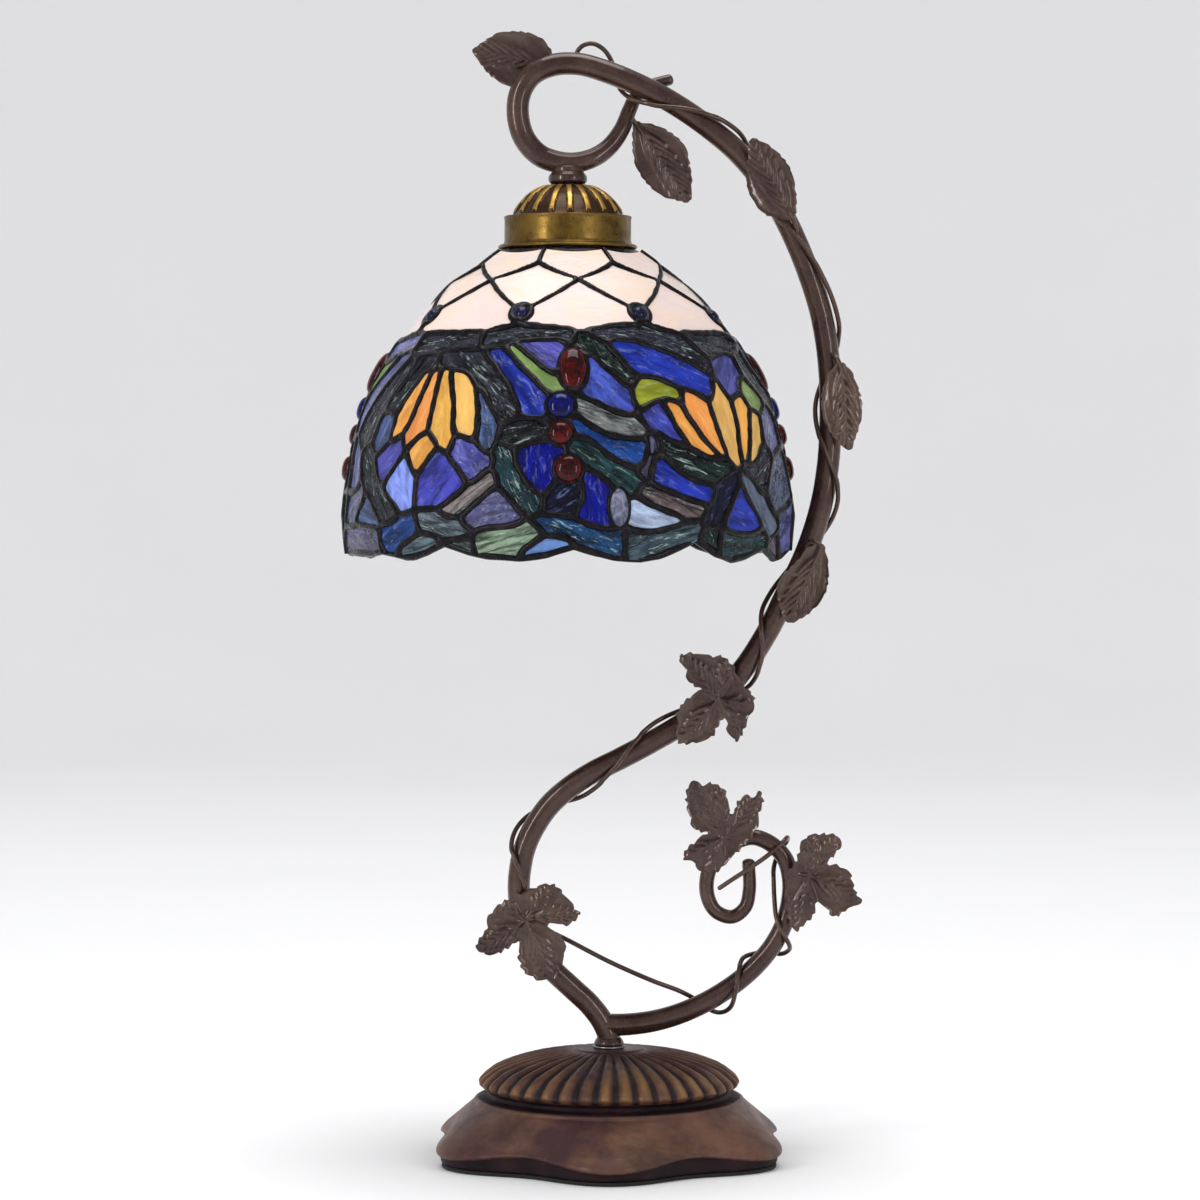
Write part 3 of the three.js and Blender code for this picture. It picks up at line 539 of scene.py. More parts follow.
UPPER_WINDING = [  # x, z, turns made
    (12, 496, -0.27), (34, 484.3, 0), (55, 468, 0.25), (65, 457.5, 0.5), (72, 449, 0.75), (84, 427.5, 1),
    (99, 385, 1.25), (101.8, 366, 1.5), (102, 345, 1.75), (101, 322, 2), (99, 303, 2.25), (91, 280, 2.5),
    (78, 252.5, 2.75), (71, 239, 3), (60, 223.5, 3.25), (56, 218.8, 3.36),
]
MIDDLE_WINDING = [
    (48, 211, 3.5), (26, 196, 3.75), (6, 185.2, 4), (-14, 174, 4.25), (-28, 162, 4.5), (-38, 147, 4.75),
    (-41.2, 134, 5), (-41.7, 123, 5.1),
]
LOWER_WIRE = [
    (-29, 2.5, 104.8), (-21, 3, 101), (0, 2, 90.2), (20, 3, 81.2), (33, 5.2, 76), (41, 7.4, 71.5),
    (47.5, 6, 67), (52.5, 0, 66.9), (56.5, -5.5, 70.5), (58.5, -7.4, 78), (59.8, -5.2, 86), (61.9, 0, 91.8),
    (67.5, 5.2, 93.5), (74, 7.4, 94), (80, 5.2, 93.4), (83.6, 0, 96.2), (82.7, -5, 100), (80, -6.8, 104.5),
    (77.4, -4, 111), (76.6, -1, 119), (76.3, 0.5, 127), (76.5, 3.5, 134), (79, 6.2, 140.5), (82.6, 5, 146),
    (82.5, 0.5, 148), (80, -4.2, 146), (75, -5.8, 141.6), (66, -5.2, 135), (57, -4.4, 129), (51.2, -3.6, 125),
]


def wound(curve, stations, radius, step=3.0):
    """Points that wind round a sampled curve through stations of (x, z, turns made)."""
    along = tangents_of(curve)
    at = [int(np.argmin(np.hypot(curve[:, 0] - x, curve[:, 2] - z))) for x, z, _ in stations]
    points = []
    for (i, j), (_, _, start), (_, _, end) in zip(zip(at, at[1:]), stations, stations[1:]):
        count = max(2, round(abs(j - i) / step))
        for share in np.linspace(0, 1, count, endpoint=False):
            k = round(i + (j - i) * share)
            angle = TURN * (start + (end - start) * share)
            front = np.array([0.0, -1.0, 0.0])
            side = np.cross(along[k], front)
            side /= np.linalg.norm(side)
            points.append(curve[k] + radius * (front * math.cos(angle) + side * math.sin(angle)))
    return points


def build_tubes():
    post = smooth_curve(POST_POINTS, 1.0)
    left = np.arange(len(post))[::-1] * 1.0
    post_radii = POST_TIP + (POST_RADIUS - POST_TIP) * np.minimum(1, left / POST_TAPER)
    post_solid = tube(post, post_radii, 32, 0.1, 0.7)
    mesh_piece("post_tube", post_solid, BRONZE, "stand", "bronze_paint", ["main_post"])

    branch = smooth_curve(BRANCH_POINTS, 1.0)
    branch_radii = np.linspace(POST_RADIUS, BRANCH_TIP, len(branch))
    branch = tube(branch, branch_radii, 32, 0.1, 0.6)
    mesh_piece("branch_tube", branch, BRONZE, "stand", "bronze_paint", ["scroll_branch"])

    wires = {
        "vine_wire_upper": [*TENDRIL, *wound(post, UPPER_WINDING, WIND_RADIUS)],
        "vine_wire_middle": wound(post, MIDDLE_WINDING, WIND_RADIUS),
        "vine_wire_lower": LOWER_WIRE,
    }
    for name, route in wires.items():
        wire = tube(smooth_curve(route, 0.8), WIRE_RADIUS, 12)
        mesh_piece(name + "_fine", wire, BRONZE, "stand", "bronze_paint", [name])


# ---- the base ----
BASE_RADIUS = 81.5
LOBE_DEPTH = 5.5
LOBES = 6
BASE_TOP = 50.5
CAST_SEGMENTS = FLUTES * 12
CAST_CREASE = 50
CORD_HEIGHT = 9  # of the cord's hole at the back


def lobe(angle):
    return np.cos(np.radians(LOBES * angle))


def cast_shape(radius, height, angle):
    """Scallops the skirt, lifts its lip in waves, and flutes the cushion."""
    foot = np.clip((28 - height) / 18, 0, 1) * np.clip((radius - 60) / 8, 0, 1)
    lip = np.clip((12 - height) / 3, 0, 1) * np.clip((height - 2.8) / 2, 0, 1) * (radius > 74)
    cushion = np.clip((height - 31.5) / 2, 0, 1) * np.clip((radius - 16) / 14, 0, 1)
    ridge = np.cos(np.radians(FLUTES * (angle + SWIRL * (radius - SWIRL_START))))
    wave = (0.5 + 0.5 * ridge) ** 0.7 - 0.55
    flute = cushion * wave * (0.7 + 1.7 * np.clip(radius / 58, 0, 1))
    steep = np.clip((radius - 46) / 12, 0, 1)
    new_radius = radius + LOBE_DEPTH * foot * lobe(angle) + flute * steep * 0.8
    return new_radius, height - 2 * lip * lobe(angle) + flute * (1 - 0.55 * steep)


def in_shadow(radius, height):
    """Whether a point of the casting's outline is under its lip or in the groove below the cushion."""
    return (radius > 72 and height < 7.6) or (50 < radius < 60.6 and 27.9 < height < 32)


def lobed_edge(radius, height, angle):
    return radius + LOBE_DEPTH * lobe(angle) * np.clip((radius - 40) / 30, 0, 1), height


def build_casting():
    outside = rounded([
        (71, 1.8), (BASE_RADIUS - 2.6, 1.8), (BASE_RADIUS - 2.0, 7.4), (BASE_RADIUS - 0.4, 7.9),
        (BASE_RADIUS, 8.7), (BASE_RADIUS - 0.5, 9.9), (BASE_RADIUS - 4.6, 13.8), (70.3, 20.2), (64.5, 25.2),
        (62.8, 26.2), (62.2, 27.7), (60.2, 28.0), (56.0, 28.4), (55.2, 30.8), (58.4, 32.4), (59.9, 34.4),
        (58.6, 36.8), (53, 41.2), (46, 43.9), (38, 46.2), (27, 48.2), (19, 49.5), (16.6, 49.7), (15.6, 50.6),
        (14, BASE_TOP), (5.5, BASE_TOP),
    ], 1.9, 5)
    dense = [outside[0]]
    for a, b in zip(outside[:-1], outside[1:]):
        count = max(1, round(np.linalg.norm(b - a) / 1.6))
        dense += [a + (b - a) * (k + 1) / count for k in range(count)]
    inside = [(5.5, 43.5), (30, 42), (51, 36), (53, 27), (64, 20), (71, 12)]
    solid = turned([*dense, *inside], segments=CAST_SEGMENTS, shape=cast_shape)
    casting = mesh_piece("base_cast_fluted", solid, CAST, "stand", "cast_bronze",
                         ["base_casting"], CAST_CREASE)
    # painted shade: rows under the lip and in the groove below the cushion take the dark shadow material
    casting.data.materials.append(CAST_SHADOW)
    for row in [k for k, point in enumerate(dense[1:]) if in_shadow(*point)]:
        for face in range(row * CAST_SEGMENTS, (row + 1) * CAST_SEGMENTS):
            casting.data.polygons[face].material_index = 1
    casting = combine(casting, cylinder_y(7, 70, 87.4, CORD_HEIGHT, 0.8), "UNION")  # the cord's boss
    combine(casting, cylinder_y(4.8, 55, 95, CORD_HEIGHT, 0), "DIFFERENCE")  # and its hole


def cylinder_y(radius, near, far, height, bevel):
    """A round bar along Y, at a height, as an unlinked helper object."""
    angles = np.linspace(0, TURN, 48, endpoint=False)
    rings = [(radius - bevel, near), (radius, near + bevel), (radius, far - bevel), (radius - bevel, far)]
    rings = rings if bevel else [(radius, near), (radius, far)]
    points = np.array([(r * math.cos(a), y, height + r * math.sin(a)) for r, y in rings for a in angles])
    mesh = bpy.data.meshes.new("tool")
    mesh.from_pydata((points * MM).tolist(), [], outward(points, capped_faces(len(rings), len(angles))))
    return bpy.data.objects.new("tool", mesh)


def combine(piece, tool, operation):
    """Joins tool to piece or cuts it away, keeping piece's name, material and body."""
    bpy.context.scene.collection.objects.link(tool)
    modifier = piece.modifiers.new("combine", "BOOLEAN")
    modifier.operation = operation
    modifier.object = tool
    modifier.solver = "EXACT"
    evaluated = piece.evaluated_get(bpy.context.evaluated_depsgraph_get())
    result = bpy.data.meshes.new_from_object(evaluated)
    piece.modifiers.clear()
    piece.data = result
    bpy.data.objects.remove(tool)
    result.shade_smooth()
    result.set_sharp_from_angle(angle=math.radians(CAST_CREASE))
    return piece


def build_base_fittings():
    rim = BASE_RADIUS - 3
    pad = rounded([(0, 0), (rim, 0), (rim + 0.3, 0.75), (rim, 1.5), (0, 1.5)], 0.5)
    pad = turned(pad, segments=240, shape=lobed_edge)
    mesh_piece("felt_pad_fine", pad, FELT, "stand", "felt", ["felt_pad"])
    washer = rounded([(5.5, 50.8), (7.3, 50.8), (7.3, 51.5), (5.5, 51.5), (5.5, 50.8)], 0.2)[:-1]
    mesh_piece("foot_ring_bright", turned(washer, segments=64), STEEL, "stand", "brass", ["foot_washer"])
    turned_part("foot_collar", "_fine", (BRONZE, "bronze_paint"), 0.4,
                [(5.3, 51.8), (6.8, 51.8), (7.0, 52.6), (6.7, 53.4), (5.9, 54.8), (5.3, 55.4)], 0.0)

    face = 87.7  # how far back the bushing's flange sits
    bushing = rounded([
        (3.3, 67), (4.5, 67), (4.5, face), (6.4, face), (6.4, face + 1), (5.6, face + 2.2), (3.7, face + 2.2),
        (3.3, face + 1.8), (3.3, 67),
    ], 0.35)[:-1]
    points, faces = turned(bushing, segments=48)
    points = np.stack([points[:, 0], points[:, 2], CORD_HEIGHT - points[:, 1]], axis=1)
    bushing = points, outward(points, faces)
    mesh_piece("cord_bushing_fine", bushing, RUBBER, "stand", "rubber", ["cord_bushing"])


# ---- leaves ----
def serrated(loop, tooth, depth):
    """Pushes a closed [x, z] loop out in forward-leaning teeth of uneven size."""
    along = np.roll(loop, -1, axis=0) - np.roll(loop, 1, axis=0)
    along /= np.linalg.norm(along, axis=1)[:, None]
    area = np.sum(loop[:, 0] * np.roll(loop[:, 1], -1) - np.roll(loop[:, 0], -1) * loop[:, 1])
    out = np.stack([along[:, 1], -along[:, 0]], axis=1) * (1 if area > 0 else -1)
    gaps = np.linalg.norm(np.roll(loop, -1, axis=0) - loop, axis=1)
    run = np.concatenate([[0], np.cumsum(gaps)[:-1]])
    run += 0.3 * tooth * np.sin(run / tooth * 1.7)
    number, phase = np.divmod(run / tooth, 1.0)
    size = 0.7 + 0.3 * np.sin(2.4 * number)
    return loop + out * (depth * size * (np.minimum(phase / 0.75, (1 - phase) / 0.25) - 0.6))[:, None]


def distance_to(points, line):
    """Each point's distance to a polyline and the share of the line's length where it is nearest."""
    best = np.full(len(points), 1e9)
    share = np.zeros(len(points))
    lengths = [np.linalg.norm(np.subtract(b, a)) for a, b in zip(line, line[1:])]
    total, done = sum(lengths), 0.0
    for a, b, length in zip(line, line[1:], lengths):
        a, d = np.array(a, float), np.subtract(b, a).astype(float)
        t = np.clip((points - a) @ d / d.dot(d), 0, 1)
        gap = np.linalg.norm(points - a - t[:, None] * d, axis=1)
        nearer = gap < best
        best[nearer] = gap[nearer]
        share[nearer] = (done + t[nearer] * length) / total
        done += length
    return best, share


def side_veins(main, spacing, angle, reach):
    """Pairs of curved side veins along a main vein, as polylines. reach(share) is their length."""
    line = smooth_curve([(x, z) for x, z in main], 1.0)[:, [0, 2]]
    veins = []
    count = int(len(line) / spacing)
    for k in range(1, count):
        i = round(k * len(line) / count)
        share = i / len(line)
        forward = line[min(i + 2, len(line) - 1)] - line[max(i - 3, 0)]
        heading = math.atan2(forward[1], forward[0])
        for side in (-1, 1):
            start, vein = line[i], [line[i]]
            for step in range(1, 5):
                bend = heading + side * math.radians(angle - 4.5 * step)
                start = start + reach(share) / 4 * np.array([math.cos(bend), math.sin(bend)])
                vein.append(start)
            veins.append(vein)
    return veins


def leaf_mesh(outline, mains, sides, back, curl, spacing=0.62):
    """A pressed metal leaf on a mesh of spacing mm. mains and sides are its veins as [x, z] lines; back is
    the depth of its back face and curl bends its edges towards the front."""
    low, high = outline.min(axis=0), outline.max(axis=0)
    xs, zs = (np.arange(low[i], high[i], spacing) for i in (0, 1))
    grid = np.array([(x + (spacing / 2 if j % 2 else 0), z) for j, z in enumerate(zs) for x in xs])
    edge_line = [*outline, outline[0]]
    inside = in_polygon(grid, outline)
    grid = grid[inside]
    grid = grid[distance_to(grid, edge_line)[0] > spacing * 0.55]
    flat = np.vstack([outline, grid])
    ring = list(range(len(outline)))
    made = delaunay_2d_cdt([Vector(p) for p in flat], [], [ring], 1, 1e-6)
    flat, triangles = np.array([list(v) for v in made[0]]), [list(f) for f in made[2]]
    edge_gap = distance_to(flat, edge_line)[0]
    relief = np.zeros(len(flat))
    main_gap = np.full(len(flat), 1e9)
    for line in mains:
        gap, share = distance_to(flat, line)
        main_gap = np.minimum(main_gap, gap)
        relief = np.maximum(relief, 1.2 * (1 - 0.5 * share) * np.exp(-(gap / 1.1) ** 2))
    side_gap = np.full(len(flat), 1e9)
    for line in sides:
        gap, share = distance_to(flat, line)
        side_gap = np.minimum(side_gap, gap)
        relief = np.maximum(relief, 1.05 * (1 - 0.45 * share) * np.exp(-(gap / 0.95) ** 2))
    relief -= 0.5 * np.clip(np.minimum(side_gap, main_gap) / 2.4, 0, 1)
    relief *= np.clip(edge_gap / 1.2, 0, 1)
    bend = curl * np.clip(main_gap / 10, 0, 1.3) ** 2
    ripple = 0.5 * np.sin(flat[:, 0] * 0.5 + flat[:, 1] * 0.31) * np.clip(1 - edge_gap / 4, 0, 1)
    y_back = back - bend - ripple * 0.6
    y_front = y_back - LEAF_THICKNESS - relief
    y_back = y_back - np.clip(relief, 0, 1) * 0.6
    points = np.vstack([np.stack([flat[:, 0], y, flat[:, 1]], axis=1) for y in (y_front, y_back)])
    return points, outward(points, sheet_faces(triangles, len(flat)))


def in_polygon(points, polygon):
    inside = np.zeros(len(points), bool)
    for (ax, az), (bx, bz) in zip(polygon, np.roll(polygon, -1, axis=0)):
        crosses = (az > points[:, 1]) != (bz > points[:, 1])
        rise = bz - az if abs(bz - az) > 1e-9 else 1e-9
        inside ^= crosses & (points[:, 0] < ax + (points[:, 1] - az) * (bx - ax) / rise)
    return inside


OVAL_LEAVES = {  # outline, midrib from the stalk to the tip, depth of the back, curl, stalk's far end
    "leaf_crown": (
        [(-26, 509.5), (-30, 516), (-36, 519.3), (-44, 520.2), (-51, 519.6), (-57, 516.3), (-63.2, 511),
         (-60, 506.5), (-56, 501), (-50, 496.6), (-45, 494.5), (-38, 497), (-29, 503)],
        [(-29, 505.5), (-42, 508), (-54, 510.3), (-62.5, 511)], 6.7, 1.4, (-24, 3, 505)),
    "leaf_eye": (
        [(11.5, 479), (17, 478.4), (24, 476.6), (30, 473), (35, 468), (37.4, 460), (38.4, 451), (37.2, 442),
         (31, 442.8), (24, 445), (17.5, 450.5), (13, 457), (11, 465), (10.8, 473)],
        [(12.5, 478), (20, 468), (28, 456), (36.5, 443)], 10.0, 1.2, (8, 8.3, 482)),
    "leaf_right_upper": (
        [(65, 470), (71, 468), (77.5, 463.3), (83, 456), (85.4, 447), (86, 439), (84.5, 433), (78, 433.2),
         (71.6, 435), (66, 441), (63, 449), (63.4, 460)],
        [(84, 434), (77, 446), (70, 458), (65.5, 469)], LEAF_BACK, 1.4, (86, -5.5, 428)),
    "leaf_right_middle": (
        [(106, 367.6), (110, 365), (113.6, 358), (116, 350), (115.7, 341), (113.4, 333.5), (110.5, 326.8),
         (106, 330), (101, 336), (97.8, 344), (97.6, 353), (100.4, 362)],
        [(106, 366.5), (107.5, 354), (108.5, 341), (110.3, 328)], LEAF_BACK, 1.4, (103, -5.4, 371)),
    "leaf_right_lower": (
        [(98, 284.5), (100, 279), (101, 271), (99.6, 262), (95, 255), (88.5, 249.8), (82, 247.6), (79.2, 253),
         (77.2, 261), (78.4, 268), (82.6, 272.5), (87.4, 277.6), (91.5, 282.4)],
        [(97.5, 283), (92.5, 272), (87, 260), (82.6, 249)], LEAF_BACK, 1.4, (93, -5.6, 285)),
}
VINE_LEAVES = {  # outline round from the notch above the stalk, hub of the veins, lobe tips, stalk's far end
    "vine_leaf_middle": (
        [(42, 217), (37, 220), (35, 226), (32, 232), (37, 234), (45, 233), (53, 232), (57, 228), (62, 219),
         (66, 215), (67, 210), (64, 203), (62, 198), (58.5, 193), (55, 197), (53, 204), (50.5, 200.5),
         (47, 195), (42, 193), (32, 192.5), (31, 200), (32, 208), (37, 214)],
        (50, 212.5), [(34.5, 231.5), (64.5, 210), (58.8, 196), (33, 194.5), (53, 230)], (53, -5.6, 218)),
    "vine_leaf_foot": (
        [(-45, 121.5), (-36, 125), (-32, 127), (-25, 127), (-20, 122), (-16, 117), (-13.5, 114), (-16, 110),
         (-21, 108), (-28, 109.5), (-27, 107), (-21, 102), (-20, 96), (-22, 90), (-25, 84), (-34, 83.5),
         (-40, 88), (-42, 95), (-41.5, 101), (-46, 98), (-52, 95), (-60, 95.5), (-61, 100), (-57, 106),
         (-56, 111), (-53, 116)],
        (-38.5, 110.5), [(-29, 125.5), (-15, 114), (-28, 85), (-59.5, 97.5), (-50, 118.5)],
        (-40.5, -5.6, 115)),
    "vine_leaf_hook": (
        [(45, 151), (40, 152), (37, 158), (35.5, 165), (36, 172), (38.5, 175), (43, 173.5), (47, 174),
         (52, 172), (55, 167), (55.5, 161), (57, 160), (59, 165), (63, 168.5), (66, 167.5), (69, 170.5),
         (71, 167), (69.5, 160), (67.5, 152), (60, 143), (55, 138), (50, 133), (45, 132.5), (40.5, 134.5),
         (38, 137.5), (34, 139.5), (36, 144), (40, 147.5)],
        (53, 149), [(39, 173.5), (68.5, 168.5), (46, 134.5), (36, 140), (51, 171)], (59, -5.2, 147)),
    "vine_leaf_scroll": (
        [(86, 138), (88, 145), (91, 149.5), (95, 150.5), (102, 150.5), (105, 150), (107, 147), (106, 143),
         (103, 140), (100.5, 137), (106, 136), (110, 134), (112.5, 128), (114, 123), (116.5, 120), (114, 117),
         (110, 116), (107, 113.5), (103, 112.5), (99, 117), (96.4, 119.5), (95, 115), (93, 111), (89, 108),
         (87, 105), (83, 110), (81.5, 118), (81, 126), (82, 132)],
        (92, 131.5), [(104, 149), (114.5, 119.5), (87.5, 107), (93.5, 149)], (84, -5.4, 131)),
}


def leaf_piece(name, blade, start, end, radius):
    """A blade with its stalk, which bows a little on its way to the tube and thickens towards it."""
    middle = (np.add(start, end) / 2 + [0, -0.6, 0.6]).tolist()
    line = smooth_curve([start, middle, end], 0.8)
    leaf = merged(blade, tube(line, np.linspace(radius * 0.8, radius, len(line)), 12))
    mesh_piece(name + "_pressed", leaf, LEAF_BRONZE, "stand", "bronze_paint", [name], 55)


def build_oval_leaves():
    def reach(share):
        return 14.5 * math.sin(math.pi * (0.22 + 0.68 * share))

    for name, (outline, midrib, back, curl, stem) in OVAL_LEAVES.items():
        loop = serrated(closed_curve(outline, OUTLINE_STEP), *OVAL_TEETH)
        blade = leaf_mesh(loop, [midrib], side_veins(midrib, 4.4, 34, reach), back, curl)
        start = (midrib[0][0], back - LEAF_THICKNESS - 0.2, midrib[0][1])
        leaf_piece(name, blade, start, stem, 1.3)


def build_vine_leaves():
    for name, (outline, hub, tips, stem) in VINE_LEAVES.items():
        loop = serrated(closed_curve(outline, OUTLINE_STEP), *VINE_TEETH)
        mains = [[hub, tuple(np.add(hub, tip) / 2 + [0.6, 0.3]), tip] for tip in tips]
        veins = []
        for main in mains:
            length = math.dist(main[0], main[-1])
            veins += side_veins(main, 4.2, 38, lambda share, long=length: 0.42 * long * (1.1 - share))
        blade = leaf_mesh(loop, mains, veins, LEAF_BACK, 0.8)
        start = (hub[0], LEAF_BACK - LEAF_THICKNESS, hub[1])
        leaf_piece(name, blade, start, stem, 1.4)


# ---- cap, fitter and socket ----
CAP_RIBS = 18


def cap_relief(angle, radius):
    """0 in the flutes of the cap, 1 on its raised ribs, which keep their width all the way down."""
    pitch = 360 / CAP_RIBS
    off = np.abs((angle - 3 + pitch / 2) % pitch - pitch / 2)
    return np.clip((1.5 - np.radians(off) * radius) / 0.5, 0, 1)


def build_cap():
    dome = [(5.1, 449), (9.2, 449), (13.5, 447.4), (18, 444.6), (21.5, 441.2), (24.2, 437.6), (25.6, 435.0)]
    under = [(24.4, 435), (23.4, 437), (20.2, 440.9), (14.4, 445.2), (8.8, 447.8), (5.1, 447.8)]
    outside = smooth_curve(dome[1:], 0.6)[:, [0, 2]].tolist()

    def flute(radius, height, angle):
        share = np.clip((radius - 9.6) / 1.2, 0, 1) * np.clip((25.6 - radius) / 1.0, 0, 1) * (height > 434.9)
        proud = share * (1.05 * cap_relief(angle, radius) - 0.3)
        on_top = np.arange(len(radius))[:, None] <= len(outside)
        return radius + proud * 0.7 * on_top, height + proud * 0.7 * on_top

    solid = turned([dome[0], *outside, *under], HEAD_X, CAP_RIBS * 24, flute)
    piece = mesh_piece("cap_fluted", solid, CAP_BROWN, "stand", "antique_brass", ["cap_dome"], 60)
    piece.data.materials.append(RIB_GOLD)
    for face in piece.data.polygons:
        x, y, z = face.center / MM
        radius = math.hypot(x - HEAD_X, y)
        angle = math.degrees(math.atan2(x - HEAD_X, -y))
        on_rib = cap_relief(angle, radius) > 0.5 and 10.2 < radius < 25.2 and face.normal.z > 0.1
        face.material_index = int(on_rib)

    turned_part("fitter_band", "_fine", (BAND_BRASS, "antique_brass"), 0.6, [
        (22, 434.7), (28.6, 434.9), (29.6, 434.5), (29.2, 433.2), (29.2, 423.2), (29.7, 422.0), (31.6, 421.5),
        (32.2, 420.6), (31.6, 419.7), (28, 419.6), (28, 433.5), (22, 433.5),
    ], HEAD_X, 128)
    turned_part("neck_coupling", "_fine", (BRONZE, "bronze_paint"), 0.9, [
        (5.1, 449.3), (7.4, 449.3), (8.8, 450.6), (9.0, 452.2), (8.6, 453.8), (7.3, 455.0), (7.0, 457.6),
        (5.1, 458.2),
    ], HEAD_X)


def build_socket():
    turned_part("socket_cap", "_fine", (BRASS, "brass"), 1.0, [
        (5.1, 410.5), (7.5, 410.5), (8, 405), (17.9, 398.5), (18.3, 396.5), (17.9, 395.6), (17.9, 391),
        (17, 391), (17, 398), (7, 404), (5.1, 404),
    ], HEAD_X, 80)
    turned_part("socket_housing", "_fine", (PHENOLIC, "phenolic"), 0.6, [
        (14.3, 353), (15.4, 352.6), (16.6, 353.4), (16.6, 361), (17.4, 361.8), (17.4, 364.2), (16.6, 365),
        (16.6, 397.2), (14, 397.2), (14, 388.5), (2.2, 388.5), (2.2, 384.5), (14.3, 384.5),
    ], HEAD_X, 80)


def opal_glass(name, colour):
    """White coated bulb glass, very slightly uneven."""
    look = Look(name, Roughness=0.16, Coat_Weight=0.5, Coat_Roughness=0.05)
    drift = look.patches(0.35, 0.7, 50, 3, 0.5)
    paler = (*[c * 0.9 for c in colour[:3]], 1.0)
    return look.finish(look.mix(drift, colour, paler), None, (0.05, 0.0004, 200, 2, 0.5))


def build_bulb():
    centre, globe = 334.0, 22.5
    arc = [(globe * math.cos(a), centre + globe * math.sin(a)) for a in np.radians(np.linspace(-90, 50, 40))]
    arc[0] = (0, centre - globe)
    outside = [*arc, (13.0, 353.4), (11.8, 355.6), (11.2, 357.6), (11.1, 370)]
    globe_look = opal_glass("bulb_opal", srgb(246, 243, 234))
    mesh_piece("bulb_globe", turned([*outside, (0, 370)], HEAD_X, 72), globe_look, "bulb", "bulb_glass",
               ["bulb_glass"])

    pitch = 3.6

    def thread(radius, height, angle):
        share = np.clip((radius - 10.8) / 0.6, 0, 1) * np.clip((height - 359) / 1.5, 0, 1)
        share *= np.clip((376.5 - height) / 1.5, 0, 1)
        return radius + 0.5 * share * np.cos(TURN * height / pitch - np.radians(angle)), height

    side = [(12.1, z) for z in np.arange(357.5, 377, 0.45)]
    base = [(0, 357.4), (11.6, 357.4), *side, (10.4, 378.6), (7.5, 380.4), (6.4, 381), (0, 381)]
    mesh_piece("bulb_screw_thread", turned(base, HEAD_X, 72, thread), BRASS, "bulb", "brass",
               ["bulb_screw_base"])


# ---- the shade ----
SHADE_PROFILE = [  # radius, height
    (31.5, 419.3), (42.5, 411.3), (53.5, 402.5), (64, 393), (74, 381), (82, 369.5), (88.7, 357.5), (94, 344),
    (98.3, 328.5), (101.5, 311), (103, 296), (102.2, 285), (100.8, 276),
]
DOME = smooth_curve(SHADE_PROFILE, 0.5)[::-1][:, [0, 2]]
DOME_SLANT = np.concatenate([[0], np.cumsum(np.linalg.norm(np.diff(DOME, axis=0), axis=1))])
DOME_SLOPE = np.gradient(DOME[:, 0]) / np.gradient(DOME[:, 1])
HALF_TURN = 180.0  # the flower pattern comes twice round the shade
SHADE_TOP = 417.6
SHADE_LOW = 276.0
CELL, CELL_RADIUS = 0.78, 96  # spacing of the grid in which panes are parted, and where it is true
LIFT_TOP, LIFT_FADE = 306, 30  # the grid bends up to the wavy rim below this height, over this fade
REACH = 13  # degrees and mm round a pane where distances to it are measured
FAR = 1e3
CAME_HALF_WIDTH, CROWN_NARROWER = 1.5, 0.4
GLASS_OUT, GLASS_IN = 0.2, -1.7  # faces of the glass from the dome surface
FLAT_DEPTH = 1.5  # a pane that the dome bends less than this is a flat sheet
GRAIN_SHIFT = 37.0  # mm between the noise of one pane and the next
CROWN_FOOT = 384.0
CROWN_START = -17.0  # angle of the first of four corners where crown panes meet the band
RIM = [  # angle, height of the wavy lower edge over half a turn
    (-88, 283.5), (-80, 280), (-60, 280), (-55, 281.5), (-45, 279), (-42, 279.2), (-38, 281), (-32, 285.5),
    (-25, 281.5), (-20, 280), (-12, 279), (-5, 280.5), (2, 284.5), (7, 281.5), (12, 279.5), (19, 278.5),
    (24, 280), (30, 284), (34, 287), (37, 284.5), (41, 280.5), (47, 277.7), (52, 279), (56, 281), (60, 283.5),
    (63, 281), (68, 277.5), (75, 279), (83, 281.5), (88, 283.5), (92, 283.5),
]
JEWELS = {  # angle, height, half width, half height
    "oval": (2, 362.5, 6.2, 10.6), "blue": (-1.4, 346, 6.2, 6.0), "red_upper": (-1.4, 334, 5.6, 5.4),
    "red_lower": (0.6, 318.5, 6.1, 6.1),
}
CLEAR_JEWEL = (13, 301.5, 4.2, 8.6)
CROWN_JEWEL, CROWN_JEWEL_HEIGHT = 3.5, 387.6  # radius and height of the stones at the crown's foot
BEZEL = 1.3  # width of the came round a stone
SET_IN = 0.7  # how far the came reaches under a stone's edge
